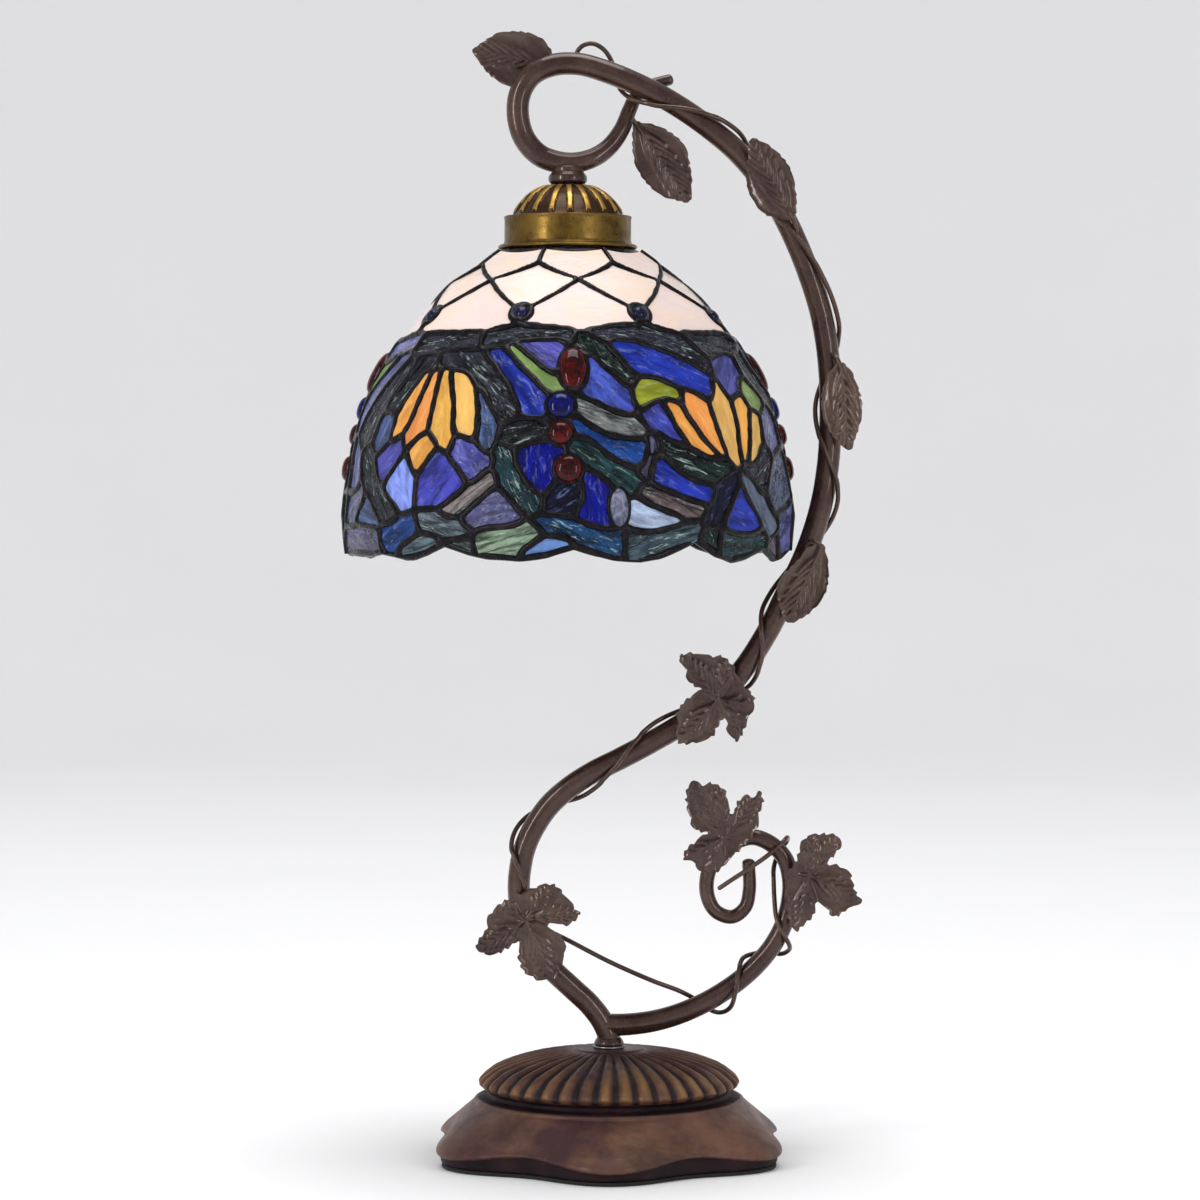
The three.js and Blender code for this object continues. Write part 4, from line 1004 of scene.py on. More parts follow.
BAND_PANES = [  # (glass, outline as (angle, height)) over half a turn of the flower band
    # centre, over the jewels
    ("charcoal", [(-28,375.5), (-20,380), (-10,380.5), (0,380), (2,378), (-3,377), (-12,376.8), (-20,375.5),
        (-26,373)]),
    ("charcoal", [(7,378.8), (14,381), (22,382), (29,380), (36,377.2), (42,374), (46,369), (47.5,362.5),
        (45.5,363), (42,367), (36,370.8), (28,374.5), (20,377), (12,376.6)]),
    ("bottle", [(4,378), (8,376.5), (12,372), (16,366), (20,358.5), (18.5,356), (15,360), (10,367), (6,372)]),
    ("violet", [(-15,374), (-9,374.8), (-2.5,374.5), (-3.5,369), (-4,361.8), (-8,366), (-14,372.5)]),
    ("sage", [(-18,372), (-14,371), (-10,366), (-5,360), (-2.5,355), (-3.2,353.2), (-6,354.5), (-10,360),
        (-15,367)]),
    ("royal", [(-24,369), (-19,369.5), (-13,362), (-8,355), (-6,350), (-6.5,341.8), (-11,341.5), (-12.5,349),
        (-17,358), (-23,367)]),
    ("sky", [(6.8,369), (10.5,363), (14,358), (17.3,353), (17.5,343.5), (12.5,346.5), (9,349.8), (5.8,351),
        (6.8,358)]),
    # bud and its surround
    ("charcoal", [(-42,370), (-33,370.5), (-26,367.5), (-20,361), (-16,352), (-13.5,342), (-17,340.5),
        (-20.5,347), (-24.5,356), (-29,362), (-36,364.5), (-41,364)]),
    ("steel", [(-25.2,354.5), (-21.5,347), (-19.3,340), (-18.6,333), (-20,326.5), (-22.7,329), (-22.8,338),
        (-24,347)]),
    ("yellow", [(-35.5,361), (-31,360.5), (-27.5,355), (-25.5,346), (-25,338), (-25.2,332.5), (-28,334.5),
        (-31.4,338), (-32,349)]),
    ("amber", [(-38.5,361.5), (-36.5,361.5), (-33.5,350), (-32,341), (-31.6,327), (-34.5,331), (-38.8,336.5),
        (-38.8,347)]),
    ("orange", [(-42,360.5), (-40.2,361), (-40,349), (-40,336.8), (-43.5,331.5), (-46.5,327.5), (-46.3,335),
        (-45.5,345), (-43.5,354)]),
    ("amber", [(-45.5,361), (-44,361.5), (-46,350), (-47,340.5), (-50,336), (-52.4,332), (-52,341),
        (-50,351)]),
    ("amber", [(-40,334.2), (-36.8,328.5), (-38.8,323), (-42,316.5), (-44.3,321.5), (-45.4,327.5)]),
    ("violet", [(-49.2,331), (-47.4,326.8), (-50,320), (-53.8,313), (-56.3,318.5), (-57.7,324), (-54,328)]),
    ("periwinkle", [(-45.6,325), (-43.5,319), (-41.6,313), (-41.6,303.5), (-45,300.3), (-48.5,305),
        (-52.3,312), (-49,319.5)]),
    ("indigo", [(-35.4,325.5), (-31,321), (-26,312), (-29,307), (-32.5,303.2), (-37.5,302), (-39.8,304),
        (-40.3,312), (-38,319.5)]),
    ("violet", [(-29.6,332), (-24,328), (-18.8,323), (-21.5,318), (-24.2,313.5), (-27,317.5), (-30,323.5)]),
    ("grey", [(-18.8,317.5), (-18.8,311), (-24,304), (-29,297.5), (-33,300), (-29.5,304.5), (-25,310)]),
    ("slate", [(-18,308.8), (-15.8,306), (-13,301), (-10.8,297), (-16,293.8), (-24,293.8), (-26,295.5),
        (-22,302)]),
    ("teal", [(-17.8,328.5), (-15.2,328), (-13.2,321), (-9.6,312), (-6.2,304.5), (-7,299.8), (-10.8,301),
        (-13.5,307), (-16.6,315), (-18,322)]),
    ("streaked", [(-17.5,331.5), (-15,337), (-11.5,339.8), (-7.5,339.8), (-6.4,335), (-8,331.5),
        (-11.5,331.3), (-14.5,329.5)]),
    ("cobalt", [(-11.5,326), (-8,329.3), (-4.6,327.5), (-3.6,320), (-3.8,313), (-5.2,308.5), (-8,309.5),
        (-11,315), (-12.4,321)]),
    ("night", [(-2.8,311.3), (3.6,311.3), (3.8,305), (1.5,299), (-5,299.2), (-4.6,305)]),
    ("cobalt", [(4.6,318), (7,315.8), (10,312.5), (10.4,309.5), (9.2,305), (9.6,298), (11,293.8), (7,294.5),
        (2.5,298), (4.6,305)]),
    # left of the bud
    ("charcoal", [(-50,367), (-43,368.5), (-42.5,363), (-47,362.5), (-52,352), (-55,343), (-58.5,344),
        (-57,354)]),
    ("steel", [(-56,346), (-54.2,339), (-54.8,331), (-58.8,326.5), (-61,331), (-60.5,339), (-58.5,344)]),
    ("charcoal", [(-73,338), (-68,349), (-62,358), (-56,364.5), (-51,366), (-54.5,358), (-59,350),
        (-62.5,341), (-64,333), (-67,329), (-71,331)]),
    ("lavender", [(-84,342), (-79,352), (-72,360.5), (-64,368), (-58,370.5), (-61,365.5), (-68,357),
        (-73,348), (-77,338), (-81,337)]),
    ("charcoal", [(-55,375), (-46,378), (-38,378.5), (-31,377), (-29,373), (-38,372.3), (-47,371),
        (-55,371.5)]),
    ("sage", [(-84,357.5), (-77,364.5), (-69,370), (-66,368.5), (-74,361), (-81,352.5)]),
    ("lavender", [(-78,371), (-68,374.5), (-58,375.5), (-58,373), (-66,371.8), (-74,368)]),
    ("lavender", [(-76,330), (-72.5,328), (-69,320), (-67.5,311), (-71.5,309.5), (-75,317), (-77,324)]),
    ("charcoal", [(-66,328), (-62,325.5), (-60,318), (-56,309.5), (-51,302.5), (-47.5,299), (-50,295.5),
        (-55,298.5), (-59.5,306.5), (-64,317)]),
    ("steel", [(-60.5,306.5), (-57,300), (-54,294), (-60,293.2), (-66,294.5), (-64,301)]),
    ("smoke", [(-71,306.5), (-66,311), (-63,306), (-66.5,299.5), (-69,293), (-74,294), (-76,301)]),
    ("plum", [(-75,291), (-66,292), (-57,291.5), (-54.5,288), (-55,282.5), (-63,281.5), (-75,281.5)]),
    # right of the jewels
    ("royal", [(14.5,374), (21,374.8), (28,372), (38,366.5), (45.2,360), (44.8,352), (37,355.5), (29,359.5),
        (20.8,361), (17.5,367)]),
    ("olive", [(20,356), (23.5,358.8), (28,357), (31,353), (33.5,350.2), (28,350.8), (24,350), (21,346),
        (19.8,349)]),
    ("blue", [(20.6,341.5), (23,345), (26,347), (28.6,343.5), (30,336), (33.5,328.3), (30,329.3), (26,332.5),
        (22,337.5)]),
    ("grey", [(3,347.3), (6,347.3), (10,343.8), (15,341), (20,339.3), (21,335.5), (19.5,332.8), (14,333.5),
        (9,336), (5,340)]),
    ("teal_blue", [(2.4,340), (5,337.5), (10,333), (15,330.8), (21,330), (20.5,325), (19,321), (13,325),
        (7.5,331)]),
    ("plum", [(22.3,333.5), (25,331.5), (24,326), (22.4,320), (21,314.5), (19,315), (20.4,321), (21.8,328)]),
    ("bottle", [(24,335), (28,331.5), (34,327), (38,323.5), (44,321.3), (45.5,317.5), (42,313), (37,312.5),
        (32,316), (28,321.5), (25,328)]),
    ("royal", [(23.4,326.5), (25.5,321), (31.5,314.5), (39.3,310.7), (38.6,305), (34,305), (28,309),
        (21.4,313.8), (22.3,320)]),
    ("taupe", [(18.8,310), (20.5,311), (26,307.5), (32,303.7), (35,302), (35.5,299.5), (32,298), (27,300.3),
        (20,305)]),
    ("pale", [(16.8,304.8), (23,299.8), (29,296.3), (26,293.2), (16.8,291.5)]),
    ("teal", [(4.2,330), (7.5,327.5), (10,322.5), (14,317.5), (19.5,313.5), (18,309.8), (14,311), (9.5,315),
        (6.2,319), (4.8,324)]),
    ("night", [(40.8,311.3), (45,316), (47.8,314), (46.8,308), (44,300), (41,294), (36.5,292.8), (37,297.5),
        (40,303.5)]),
    ("royal", [(48.7,309.5), (51,304.5), (54,298.5), (57,293), (53,290.3), (48,290.3), (42.7,294), (45,300)]),
    ("smoke", [(50.5,315), (54,314.5), (58,306), (62,298.5), (65.5,291), (62,288), (59,293), (56,300),
        (52,308.5)]),
    # water lily
    ("amber", [(27.5,348.3), (31.5,345.8), (34.5,338), (38.5,330), (42.4,323.2), (38.5,323.8), (33.5,329),
        (30.2,337)]),
    ("orange", [(34,352.2), (39.6,349), (42,339), (44.2,324.3), (40.8,328), (37.2,338.5), (35.2,345)]),
    ("yellow", [(47.2,358), (49,352), (51,345), (52,337), (50.4,326), (48.4,320.8), (45.8,332), (45,345)]),
    ("amber", [(54,347.5), (57,350), (58,341), (56,331), (52.6,322), (51.8,330), (53.6,338)]),
    ("yellow", [(60.5,339.5), (64,342), (63.4,334), (59,325), (54.4,319.6), (57.4,329)]),
    ("violet", [(50,366), (56,368.8), (61,369.8), (62.5,361), (57.5,356), (52.7,351), (49,359.5)]),
    ("sage", [(61,358), (65.5,355), (70.5,348.5), (68,344.5), (64.5,347.5), (60.5,352.5)]),
    ("charcoal", [(44,377.8), (52,378.5), (61,378), (67,375.5), (66,372.3), (58,372), (50.5,369.5),
        (47.2,372)]),
    ("charcoal", [(65,369), (72,366.5), (80,357.5), (83,346), (79.5,345), (74,353), (68.5,359), (65,362)]),
    ("lavender", [(65.5,331), (67,339), (70,345), (75,344), (77.5,337), (74,330), (68.5,326.5)]),
    ("charcoal", [(51.5,318), (58,319.5), (63.5,326.5), (66,325.5), (62,317), (58.5,309.5), (55,314.5)]),
    ("smoke", [(62.5,307), (66,316), (71.5,323.5), (78,323), (80,312), (77,304), (70,300.5), (64.5,301.5)]),
    ("lavender", [(67,297), (72,299), (79,300.5), (82,292), (80,283), (74,282), (68.5,286)]),
    # side columns
    ("violet", [(76,370), (84,373), (90,374), (90,369), (87.5,358), (84.5,358.5), (82,363)]),
    ("sky", [(97,372), (96,366), (96,358.5), (93.5,351.5), (91.5,352), (93,372.5)]),
    ("royal", [(80,341), (84.5,345), (85,339), (84,333), (80,329)]),
    ("royal", [(95,349), (98.5,351), (99,341), (97,335), (93.5,336.5)]),
    ("teal", [(80,325.5), (85,329), (88,327), (84.5,319), (84,312), (82,311)]),
    ("cobalt", [(92,327), (98,331), (102,328), (103,318), (101,310), (97,310), (95.5,318)]),
    ("cobalt", [(83,308), (88,311), (94,310.5), (96,304), (93,298), (86,298)]),
    ("teal", [(98,306), (102,306.5), (104,297), (100,293), (96.5,297)]),
    # border along the rim
    ("teal_blue", [(-52,291.5), (-46,295.3), (-41,296.8), (-40.3,292), (-45,287), (-50,284), (-53.5,285.5)]),
    ("mist", [(-46,282.5), (-40,287), (-35,288.3), (-33.8,286.8), (-38,282.8), (-42,281.3)]),
    ("mist", [(-39,299), (-34,299), (-29,296), (-25,292.5), (-24.6,289.5), (-28,288), (-32,288.5),
        (-39,293.5)]),
    ("mist", [(-31,286.5), (-25,288.3), (-24.6,283), (-28,283.5)]),
    ("whitegreen", [(-22,291), (-16,292), (-12,293), (-9,294), (-6.5,291), (-9,287), (-12,283), (-17,281.5),
        (-22,282.5)]),
    ("cyan", [(-10,281.3), (-9.5,283.5), (-3,288), (0.5,287), (0.5,285), (-4,281.8)]),
    ("ocean", [(-8,296), (-4,298.3), (2,295.3), (8,291.3), (13,290), (13.6,281.8), (9,282.2), (5,284.5),
        (1,289.3), (-4,291.8)]),
    ("teal_grey", [(15.8,281), (15.8,289.5), (22,290), (30,292), (34.5,293), (33.5,289), (30,285.3),
        (24,281.7), (19,280.2)]),
    ("bottle", [(36,290.5), (39.5,292.5), (41,289), (40,283), (36.5,287)]),
    ("teal", [(42.5,290), (46,288.5), (52,288), (57.5,290.5), (59.5,287), (56,283), (50,280.3), (46,279.8),
        (42,285)]),
    ("plum", [(62,285), (66,289.5), (67.5,284), (66.5,280), (63.5,282.5)]),
    ("teal_blue", [(84,296), (92,296), (98,292.5), (96,284), (88,284), (82,290)]),
]


def crown_panes():
    """The cream lattice over the band: for each of four corners a kite, a top pane and a low pane."""
    panes = []
    for k in range(4):
        c = CROWN_START + 45 * k
        middle, before = c + 22.5, c - 22.5
        panes.append(("cream", [(c, 411), (middle, 403), (c, 388), (before, 403)]))
        panes.append(("cream", [(c, 419), (c, 411), (middle, 403), (c + 45, 411), (c + 45, 419)]))
        panes.append(("cream", [(middle, 403), (c + 45, 388), (c + 41, 383.5), (c + 33, 382.5),
                                (middle, 380.5), (c + 12, 382.5), (c + 4, 383.5), (c, 388)]))
    return panes


def dome_radius(height):
    return np.interp(height, DOME[:, 1], DOME[:, 0])


def dome_slant(height):
    return np.interp(height, DOME[:, 1], DOME_SLANT)


def dome_point(angle, height, proud=0.0):
    """A point on the dome or off it by proud along its normal, about the shade's own axis."""
    slope = np.interp(height, DOME[:, 1], DOME_SLOPE)
    size = np.sqrt(1 + slope**2)
    radius = dome_radius(height) + proud / size
    turn = np.radians(angle)
    return np.stack([radius * np.sin(turn), -radius * np.cos(turn), height - proud * slope / size], axis=-1)


def rim_height(angle):
    p = np.array(RIM)
    return np.interp((np.asarray(angle) + 88) % HALF_TURN - 88, p[:, 0], p[:, 1])


def soft_corners(outline):
    """Cuts an outline's corners twice, so that it bends instead of turning."""
    p = np.array(outline, float)
    for _ in range(2):
        q = np.roll(p, -1, axis=0)
        p = np.stack([p * 0.78 + q * 0.22, p * 0.22 + q * 0.78], axis=1).reshape(-1, 2)
    return p


def oval_outline(angle, height, half_width, half_height):
    a = np.linspace(0, TURN, 28, endpoint=False)
    wide = np.degrees(half_width / dome_radius(height))
    tall = half_height * np.interp(height, [320, 370], [0.98, 0.9])
    return np.stack([angle + wide * np.cos(a), height + tall * np.sin(a)], axis=1)


def all_panes():
    """Every pane and jewel of half a turn as (glass, outline)."""
    panes = [(glass, soft_corners(outline)) for glass, outline in BAND_PANES]
    panes += [(glass, np.array(outline, float)) for glass, outline in crown_panes()]
    for angle, height, w, h in JEWELS.values():
        panes += [("jewel", oval_outline(angle + turn, height, w, h)) for turn in (0, 90)]
    panes.append(("jewel", oval_outline(*CLEAR_JEWEL)))
    for k in range(4):
        stone = oval_outline(CROWN_START + 45 * k, CROWN_JEWEL_HEIGHT, CROWN_JEWEL, CROWN_JEWEL)
        panes.append(("crown_jewel", stone))
    return panes


def signed_distance(outline, angle, height):
    """Distance over the dome from points to an outline, negative inside it."""
    radius = dome_radius(height)[:, None]
    px, py = np.radians(angle)[:, None] * radius, dome_slant(height)[:, None]
    ax, ay = np.radians(outline[:, 0]) * radius, dome_slant(outline[:, 1])[None, :]
    bx, by = np.roll(ax, -1, axis=1), np.roll(ay, -1, axis=1)
    dx, dy = bx - ax, by - ay
    t = np.clip(((px - ax) * dx + (py - ay) * dy) / (dx * dx + dy * dy + 1e-9), 0, 1)
    gap = np.sqrt((px - ax - t * dx) ** 2 + (py - ay - t * dy) ** 2).min(axis=1)
    crosses = (ay > py) != (by > py)
    reach = ax + (py - ay) * dx / np.where(np.abs(dy) < 1e-9, 1e-9, dy)
    inside = (crosses & (px < reach)).sum(axis=1) % 2 == 1
    return np.where(inside, -gap, gap)


class Partition:
    """Half a turn of the dome on a grid. At each point, owner is its pane or stone and shift the turn of that
    pane's copy; value is how far it lies inside the glass in mm, negative in the came; share falls from 1 at
    the came's edge to 0 on its crest."""

    def __init__(self):
        self.panes = all_panes()
        self.columns = round(HALF_TURN / math.degrees(CELL / CELL_RADIUS))
        angles = -90 + np.arange(self.columns) * HALF_TURN / self.columns
        bases = np.arange(SHADE_LOW, SHADE_TOP, CELL)
        self.rows = len(bases)
        self.angle, base = np.meshgrid(angles, bases)
        lift = (rim_height(self.angle) - SHADE_LOW) * np.clip((LIFT_TOP - base) / LIFT_FADE, 0, 1)
        self.height = base + lift
        self.owner = np.zeros(self.angle.shape, int)
        self.shift = np.zeros(self.angle.shape)
        self.set_stones(self.part_panes())

    def nearby(self, stones):
        """Each copy of a pane or stone on the grid, as (index, shift, points near it, distances)."""
        for index, (glass, outline) in enumerate(self.panes):
            if glass.endswith("jewel") != stones:
                continue
            for shift in (-HALF_TURN, 0, HALF_TURN):
                moved = outline + [shift, 0]
                low, high = moved.min(axis=0) - REACH, moved.max(axis=0) + REACH
                near = (self.angle > low[0]) & (self.angle < high[0])
                near &= (self.height > low[1]) & (self.height < high[1])
                if near.any():
                    yield index, shift, near, signed_distance(moved, self.angle[near], self.height[near])

    def part_panes(self):
        """Gives each point to the pane it is deepest in or nearest to. Returns its distance to the seam."""
        first = np.full(self.angle.shape, FAR)
        second = first.copy()
        for index, shift, near, gap in self.nearby(stones=False):
            wins = gap < first[near]
            second[near] = np.where(wins, first[near], np.minimum(second[near], gap))
            first[near] = np.where(wins, gap, first[near])
            self.owner[near] = np.where(wins, index, self.owner[near])
            self.shift[near] = np.where(wins, shift, self.shift[near])
        return (second - first) / 2

    def set_stones(self, seam):
        """Sets the stones among the panes, each with a came round it."""
        shape = self.angle.shape
        stone_gap, stone, bezel = np.full(shape, FAR), np.zeros(shape, int), np.full(shape, BEZEL)
        for index, _, near, gap in self.nearby(stones=True):
            wins = gap < stone_gap[near]
            width = BEZEL if self.panes[index][0] == "jewel" else 2 * BEZEL
            stone_gap[near] = np.where(wins, gap, stone_gap[near])
            stone[near] = np.where(wins, index, stone[near])
            bezel[near] = np.where(wins, width, bezel[near])
        wobble = np.sin(self.angle * 0.71 + self.height * 0.37)
        wobble = wobble * np.sin(self.angle * 0.29 - self.height * 0.53)
        crown = np.clip((self.height - CROWN_FOOT) / 3, 0, 1)
        half_width = (CAME_HALF_WIDTH - CROWN_NARROWER * crown) * (1 + 0.18 * wobble)
        self.value = np.minimum(seam - half_width, np.maximum(-stone_gap - SET_IN, stone_gap - bezel))
        in_stone = stone_gap < -SET_IN
        self.value = np.where(in_stone, -stone_gap - SET_IN, self.value)
        self.owner = np.where(in_stone, stone, self.owner)
        self.share = np.clip(1 + self.value / half_width, 0, 1)
        self.share = np.where(stone_gap < bezel * 0.4, np.minimum(self.share, 0.6), self.share)

    def planes(self):
        """Each pane as (centre, normal, grain axes, ease), from the dome points that it covers. Ease is 1
        for a flat pane, and less for one so bent that it follows the dome instead."""
        made = []
        own_angle = self.angle - self.shift
        for index in range(len(self.panes)):
            mine = (self.owner == index) & (self.value > 0)
            if mine.sum() < 3:
                made.append((np.zeros(3), np.array([0.0, -1.0, 0.0]), np.eye(3), 1.0))
                continue
            points = dome_point(own_angle[mine], self.height[mine])
            centre = points.mean(axis=0)
            axes = np.linalg.svd(points - centre, full_matrices=False)[2]
            normal = axes[2] if axes[2].dot(centre * [1, 1, 0]) > 0 else -axes[2]
            depth = np.abs((points - centre) @ normal).max()
            ease = 1.0 if depth < FLAT_DEPTH else 0.8 / depth
            made.append((centre, normal, axes, ease))
        return made


def cut_cells(value, columns):
    """Cuts a wrapped grid's cells along value = 0. Returns the faces above and below it and the crossing
    points, each as (grid point, grid point, share)."""
    rows = value.shape[0]
    flat = value.ravel()
    i, j = np.meshgrid(np.arange(rows - 1), np.arange(columns), indexing="ij")
    n = (j + 1) % columns
    low, high = i * columns, (i + 1) * columns
    corners = np.stack([low + j, low + n, high + n, high + j], axis=-1).reshape(-1, 4)
    above = flat[corners] > 0
    full, none = above.all(axis=1), ~above.any(axis=1)
    upper, lower = corners[full].tolist(), corners[none].tolist()
    crossings, index_of = [], {}

    def crossing(a, b):
        key = (a, b) if a < b else (b, a)
        if key not in index_of:
            index_of[key] = rows * columns + len(crossings)
            va, vb = flat[key[0]], flat[key[1]]
            crossings.append((key[0], key[1], min(0.97, max(0.03, va / (va - vb)))))
        return index_of[key]

    for cell, signs in zip(corners[~full & ~none].tolist(), above[~full & ~none].tolist()):
        loop = []
        for k in range(4):
            m = (k + 1) % 4
            loop.append((cell[k], signs[k]))
            if signs[k] != signs[m]:
                loop.append((crossing(cell[k], cell[m]), None))
        lower.append([p for p, sign in loop if sign is not True])
        if len(loop) == 8:
            for k in range(0, 8):
                if loop[k][1] is True:
                    upper.append([loop[k - 1][0], loop[k][0], loop[(k + 1) % 8][0]])
        else:
            upper.append([p for p, sign in loop if sign is not False])
    return upper, lower, np.array(crossings)


def blurred(field, times):
    """Smooths a field that wraps round in its columns."""
    for _ in range(times):
        field = (np.roll(field, 1, axis=1) + field + np.roll(field, -1, axis=1)) / 3
        padded = np.pad(field, ((1, 1), (0, 0)), mode="edge")
        field = (padded[:-2] + padded[1:-1] + padded[2:]) / 3
    return field


def pane_offset(planes, owner, angle, height):
    """How far each pane's flat face stands off the dome at points in the pane's own half turn."""
    centre = np.array([p[0] for p in planes])[owner]
    normal = np.array([p[1] for p in planes])[owner]
    ease = np.array([p[3] for p in planes])[owner]
    here = dome_point(angle, height)
    away = dome_point(angle, height, 1.0) - here
    offset = np.sum((centre - here) * normal, axis=-1) / np.maximum(0.3, np.sum(away * normal, axis=-1))
    return np.clip(offset * ease, -1.6, 1.0)


class Shade:
    """The whole ring of panes and the came between them, ready to be made into solids."""

    def __init__(self):
        grid = Partition()
        self.panes = grid.panes
        self.planes = grid.planes()
        own = grid.angle - grid.shift
        fields = [np.tile(field, (1, 2)) for field in (grid.value, grid.owner, own, grid.share)]
        value, owner, own, share = fields
        columns = 2 * grid.columns
        angle = -90 + np.tile(np.arange(columns) * 2 * HALF_TURN / columns, (grid.rows, 1))
        height = np.tile(grid.height, (1, 2))
        self.upper, self.lower, cross = cut_cells(value, columns)
        smooth = blurred(pane_offset(self.planes, owner, own, height), 3)
        a, b, t = cross[:, 0].astype(int), cross[:, 1].astype(int), cross[:, 2]
        flat = [f.ravel() for f in (angle, height, own, smooth, value, owner, share)]
        angle, height, own, smooth, value, owner, share = flat
        gap = (angle[b] - angle[a] + 180) % 360 - 180
        inner = np.where(value[a] > 0, a, b)
        self.angle = np.concatenate([angle, angle[a] + t * gap])
        self.height = np.concatenate([height, height[a] + t * (height[b] - height[a])])
        moved = (self.angle[len(angle):] - angle[inner] + 180) % 360 - 180
        self.own = np.concatenate([own, own[inner] + moved])
        self.owner = np.concatenate([owner, owner[inner]]).astype(int)
        jewel_edge = np.array([self.panes[k][0].endswith("jewel") for k in owner[inner].astype(int)])
        self.smooth = np.concatenate([smooth, smooth[a] + t * (smooth[b] - smooth[a])])
        edge = np.where(jewel_edge, 0.6, 1.0)
        self.share = np.concatenate([np.clip(share, 0, 1), edge])

    def came(self):
        """The solder between the panes, rounded outside and flatter inside."""
        used, faces = compacted(self.lower)
        crest = np.sqrt(np.clip(1 - self.share[used] ** 2, 0, 1))
        angle, height, smooth = self.angle[used], self.height[used], self.smooth[used]
        outside = dome_point(angle, height, smooth + GLASS_OUT + 0.12 + 1.0 * crest)
        inside = dome_point(angle, height, smooth + GLASS_IN - 0.12 - 0.55 * crest)
        return np.vstack([outside, inside]) + [HEAD_X, 0, 0], sheet_faces(faces, len(used))

    def pane_faces(self):
        """Every pane of the whole ring as (index, its faces)."""
        groups = {}
        for face in self.upper:
            half = round((self.angle[face[0]] - self.own[face[0]]) / HALF_TURN) % 2
            groups.setdefault((self.owner[face[0]], half), []).append(face)
        for (index, _), faces in sorted(groups.items()):
            yield index, faces

    def pane_solid(self, index, faces):
        """A pane of glass: one flat sheet where the pane is nearly flat, a bent one where it isn't."""
        centre, _, axes, ease = self.planes[index]
        if ease < 1:
            used, sheet = compacted(faces)
        else:
            loops = free_loops(faces)
            used = np.array([v for loop in loops for v in loop])
            starts = np.cumsum([0] + [len(loop) for loop in loops])
            sheet = [list(range(starts[k], starts[k + 1])) for k in range(len(loops))]
        angle, height = self.angle[used], self.height[used]
        offset = pane_offset(self.planes, np.full(len(used), index), self.own[used], height)
        outside = dome_point(angle, height, offset + GLASS_OUT)
        inside = dome_point(angle, height, offset + GLASS_IN)
        own = dome_point(self.own[used], height) - centre
        grain = np.stack([own @ axes[0], own @ axes[1], np.full(len(used), index * GRAIN_SHIFT)], axis=1)
        points = np.vstack([outside, inside]) + [HEAD_X, 0, 0]
        return points, sheet_faces(sheet, len(used)), np.vstack([grain, grain])


def free_loops(faces):
    """The closed loops of edges that only one face has, each as a list of points."""
    follows = {}
    seen = set()
    for f in faces:
        for a, b in zip(f, [*f[1:], f[0]]):
            seen.add((a, b))
    for a, b in seen:
        if (b, a) not in seen:
            follows.setdefault(a, []).append(b)
    loops = []
    while follows:
        start = min(follows)
        loop, here = [], start
        while here in follows:
            ahead = follows[here].pop()
            if not follows[here]:
                del follows[here]
            loop.append(here)
            here = ahead
            if here == start:
                break
        if len(loop) > 3:
            loops.append(loop)
    return loops


def glass_families():
    """The sheet glass that the shade is cut from, by family."""
    return {
        "cream": glass_look("glass_cream", 0.07, 0.6, srgb(232, 206, 178), (0.46, 0.66),
                            0.8, (0.95, 1.02), 0.0006, (0.08, 0.2)),
        "blue": glass_look("glass_blue", 0.34, 0.28, srgb(136, 150, 216), (0.55, 0.78),
                           0.6, (0.34, 1.0), 0.0014),
        "ribbon": glass_look("glass_ribbon", 0.6, 0.2, srgb(168, 192, 182), (0.58, 0.7),
                             0.85, (0.12, 0.75), 0.0036, (0.08, 0.28)),
        "petal": glass_look("glass_petal", 0.2, 0.3, srgb(244, 206, 122), (0.5, 0.75),
                            0.6, (0.74, 1.02), 0.0008),
        "green": glass_look("glass_green", 0.26, 0.3, srgb(176, 194, 140), (0.55, 0.8),
                            0.5, (0.55, 1.05), 0.0010),
    }


GLASS = {  # family: {name: display colour}
    "cream": {
        "cream": (229, 209, 202),
    },
    "blue": {
        "violet": (78, 78, 162), "royal": (34, 54, 172), "sky": (70, 92, 184), "steel": (76, 94, 146),
        "periwinkle": (146, 160, 250), "indigo": (70, 70, 188), "slate": (88, 92, 134),
        "cobalt": (8, 16, 132), "night": (14, 18, 44), "lavender": (112, 114, 168),
        "smoke": (94, 100, 126), "plum": (82, 74, 98), "blue": (64, 78, 184),
        "teal_blue": (26, 66, 132), "pale": (180, 190, 236), "cyan": (92, 136, 196),
    },
    "ribbon": {
        "charcoal": (58, 58, 70), "bottle": (28, 50, 46), "grey": (150, 150, 148), "teal": (38, 76, 82),
        "streaked": (30, 36, 40), "taupe": (128, 110, 108), "mist": (116, 140, 142),
        "whitegreen": (156, 176, 156), "ocean": (26, 80, 122), "teal_grey": (72, 94, 112),
    },
    "petal": {
        "yellow": (228, 182, 102), "amber": (236, 162, 76), "orange": (240, 146, 76),
    },
    "green": {
        "sage": (135, 162, 96), "olive": (152, 152, 44),
    },
}
FAMILY_OF = {name: family for family, colours in GLASS.items() for name in colours}


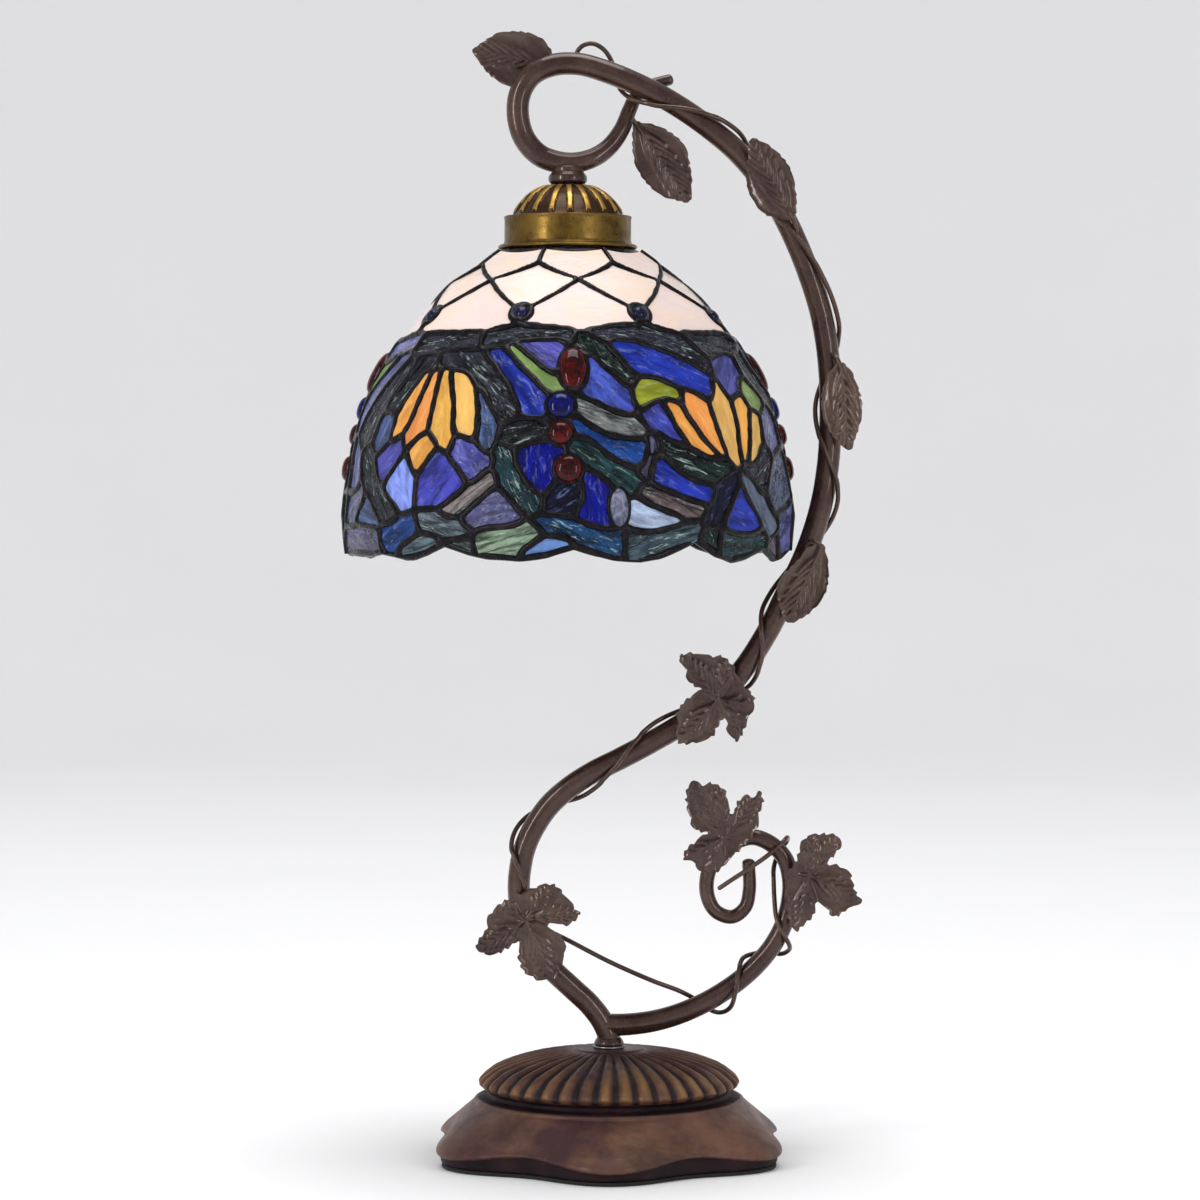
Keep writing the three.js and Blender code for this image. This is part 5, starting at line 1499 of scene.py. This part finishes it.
def build_glass(shade):
    """One piece of glass per family, every pane a closed sheet with its own tint and grain."""
    looks = glass_families()
    stands_for = {"cream": ["shade_crown_glass"], "blue": ["shade_flower_glass"]}
    batches = {family: [] for family in looks}
    random = np.random.default_rng(11)
    for index, faces in shade.pane_faces():
        glass = shade.panes[index][0]
        if glass.endswith("jewel"):
            continue
        family = FAMILY_OF[glass]
        points, solid, grain = shade.pane_solid(index, faces)
        vary = 0.025 if family == "cream" else 0.1
        tint = np.array(srgb(*GLASS[family][glass])) * [*(1 + vary * random.uniform(-1, 1, 3)), 1]
        batches[family].append((points, solid, grain, np.tile(tint, (len(points), 1))))
    for family, batch in batches.items():
        solid = merged(*[(b[0], b[1]) for b in batch])
        slot = "cream_glass" if family == "cream" else "flower_glass"
        nodes = stands_for.get(family, ())
        piece = mesh_piece("glass_" + family, solid, looks[family], "shade", slot, nodes, 30)
        for column, name, kind, field in [(2, "grain", "FLOAT_VECTOR", "vector"),
                                          (3, "tint", "FLOAT_COLOR", "color")]:
            values = np.concatenate([b[column] for b in batch]).ravel().astype(np.float32)
            piece.data.attributes.new(name, kind, "POINT").data.foreach_set(field, values)


def cabochon(angle, height, half_width, half_height, proud):
    """A domed oval stone on the dome's surface, with its flat back inside the came."""
    rings, around = 9, 40
    a = np.linspace(0, TURN, around, endpoint=False)
    rise = np.linspace(0, math.pi / 2, rings)[:-1]
    levels = [(0.9, GLASS_IN + 0.2), (1.0, GLASS_IN + 0.6)]
    levels += [(math.cos(t) ** 0.75, 0.3 + (proud - 0.3) * math.sin(t)) for t in rise]
    slope = np.interp(height, DOME[:, 1], DOME_SLOPE)
    unit = math.sqrt(1 + slope**2)
    turn = np.radians(angle)
    points = []
    for size, depth in levels:
        across = half_width * size * np.cos(a)
        up = half_height * size * np.sin(a)
        r = dome_radius(height) + up * slope / unit + depth / unit
        points.append(np.stack([r * np.sin(turn) + across * np.cos(turn),
                                -r * np.cos(turn) + across * np.sin(turn),
                                height + up / unit - depth * slope / unit], axis=1))
    points = np.vstack(points)
    return points + [HEAD_X, 0, 0], outward(points, capped_faces(len(levels), around))


def build_jewels():
    red = jewel_look("jewel_red", srgb(26, 0, 2), srgb(92, 2, 4))
    blue = jewel_look("jewel_blue", srgb(1, 2, 44), srgb(6, 10, 112))
    clear = jewel_look("jewel_clear", srgb(60, 62, 84), srgb(140, 144, 168))
    dark = jewel_look("jewel_dark", srgb(8, 8, 30), srgb(24, 28, 84))
    for turn, side in ((0, "front"), (90, "right"), (180, "back"), (270, "left")):
        for kind, (angle, height, w, h) in JEWELS.items():
            material, slot = (blue, "blue_jewel") if kind == "blue" else (red, "red_jewel")
            stone = cabochon(angle + turn, height, w, h, 3.9)
            mesh_piece(f"cabochon_{kind}_{side}", stone, material, "shade", slot, [f"jewel_{kind}_{side}"])
    for turn, side in ((0, "front"), (180, "back")):
        angle, height, w, h = CLEAR_JEWEL
        stone = cabochon(angle + turn, height, w, h, 2.8)
        mesh_piece("cabochon_clear_" + side, stone, clear, "shade", "blue_jewel")
    for k in range(8):
        stone = cabochon(CROWN_START + 45 * k, CROWN_JEWEL_HEIGHT, CROWN_JEWEL, CROWN_JEWEL, 3.0)
        mesh_piece(f"cabochon_crown_{k}", stone, dark, "shade", "blue_jewel")


def build_shade():
    shade = Shade()
    mesh_piece("came_lines", shade.came(), SOLDER, "shade", "came", crease=75)
    build_glass(shade)
    build_jewels()

    angles = np.arange(0, 360, 0.9)
    rim = dome_point(angles, rim_height(angles) + 0.4, -1.0) + [HEAD_X, 0, 0]
    bead = ring_tube(rim, 1.85 + 0.12 * np.sin(np.radians(angles * 31)), 12)
    mesh_piece("rim_bead", bead, SOLDER, "shade", "came", ["shade_rim_came"])
    turned_part("shade_top_ring", "_fine", (SOLDER, "came"), 0.5, [
        (28.4, 416), (31.0, 416), (33.6, 416.3), (34.3, 417.1), (33.4, 418.1), (31.8, 419.1), (28.4, 419.3),
    ], HEAD_X, 120, "shade")


def ring_tube(centres, radii, sides):
    """A round tube along a closed loop of centres."""
    along = np.roll(centres, -1, axis=0) - np.roll(centres, 1, axis=0)
    along /= np.linalg.norm(along, axis=1)[:, None]
    up = np.array([0.0, 0.0, 1.0]) - along * along[:, 2:3]
    up /= np.linalg.norm(up, axis=1)[:, None]
    side = np.cross(along, up)
    a = np.linspace(0, TURN, sides, endpoint=False)
    spokes = up[:, None] * np.cos(a)[None, :, None] + side[:, None] * np.sin(a)[None, :, None]
    points = (centres[:, None] + spokes * np.asarray(radii)[:, None, None]).reshape(-1, 3)
    return points, outward(points, grid_faces(len(centres), sides, closed_rows=True))


# ---- CAD nodes that stay as they are ----
KEPT_NODES = {
    "ballast_weight": IRON, "base_washer": STEEL, "base_nut": STEEL, "threaded_nipple": STEEL,
    "head_washer": STEEL, "head_lock_nut": STEEL, "shade_spider": BRASS, "screw_shell": BRASS,
    "centre_contact": BRASS, "bulb_tip_contact": STEEL, "lead_wire": INSULATION,
}


def dress_kept_nodes():
    for name, material in KEPT_NODES.items():
        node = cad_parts[name]
        node.data.materials.clear()
        node.data.materials.append(material)


# ---- floor, lights and camera, in metres ----
LIGHTS = [  # name, place, width, height, power
    ("softbox_left", (-1.1, -1.1, 0.75), 0.1, 1.0, 8),
    ("softbox_right", (1.0, -1.25, 0.6), 0.08, 0.9, 4),
    ("overhead", (0, 0, 3.2), 2.0, 2.0, 60),
]
LIGHT_AIM = (0, 0, 0.3)
WORLD_STRENGTH = 0.5
CAMERA_PLACE, CAMERA_AIM = (-0.00416, -1.914, 0.318), (-0.00416, 0, 0.258)
LENS = 124.35  # mm, with a 36 mm sensor


def build_stage():
    """A pale floor that curves up, far away on every side, into a plain wall."""
    look = Look("pale_floor", Specular_IOR_Level=0.2)
    look.feed("Base Color", look.mix(look.patches(0.3, 0.7, 3, 2), srgb(248, 248, 249), srgb(246, 246, 247)))
    look.rough(0.75, 0.85, 6, 2)
    bend = np.linspace(0, math.pi / 2, 13)
    profile = [(0, 0), (1.2, 0), *zip(2.6 + 1.6 * np.sin(bend), 1.6 - 1.6 * np.cos(bend)), (4.2, 3.4)]
    around = 96
    angles = np.linspace(0, TURN, around, endpoint=False)
    points = [(0, 0, 0)] + [(r * math.cos(a), r * math.sin(a), z) for r, z in profile[1:] for a in angles]
    faces = [(0, 1 + k, 1 + (k + 1) % around) for k in range(around)]
    faces += [[1 + v for v in face][::-1] for face in grid_faces(len(profile) - 1, around)]
    mesh = bpy.data.meshes.new("floor")
    mesh.from_pydata(points, [], faces)
    mesh.materials.append(look.material)
    mesh.shade_smooth()
    floor = bpy.data.objects.new("floor", mesh)
    bpy.context.scene.collection.objects.link(floor)


def area_light(name, place, width, height, power):
    data = bpy.data.lights.new(name, "AREA")
    data.shape = "RECTANGLE"
    data.size, data.size_y, data.energy = width, height, power
    light = bpy.data.objects.new(name, data)
    light.location = place
    light.rotation_euler = (Vector(LIGHT_AIM) - Vector(place)).to_track_quat("-Z", "Y").to_euler()
    light.visible_camera = False
    bpy.context.scene.collection.objects.link(light)


def build_lights():
    for light in LIGHTS:
        area_light(*light)
    world = bpy.data.worlds.new("studio")
    world.use_nodes = True
    background = world.node_tree.nodes["Background"]
    background.inputs["Color"].default_value = (1, 1, 1, 1)
    background.inputs["Strength"].default_value = WORLD_STRENGTH
    bpy.context.scene.world = world
    bpy.context.scene.view_settings.view_transform = "Standard"


def build_camera():
    data = bpy.data.cameras.new("camera")
    data.sensor_width, data.lens = 36, LENS
    camera = bpy.data.objects.new("camera", data)
    camera.location = CAMERA_PLACE
    camera.rotation_euler = (Vector(CAMERA_AIM) - camera.location).to_track_quat("-Z", "Y").to_euler()
    bpy.context.scene.collection.objects.link(camera)
    bpy.context.scene.camera = camera


build_camera()
build_tubes()
build_casting()
build_base_fittings()
build_oval_leaves()
build_vine_leaves()
build_cap()
build_socket()
build_bulb()
build_shade()
dress_kept_nodes()
build_stage()
build_lights()
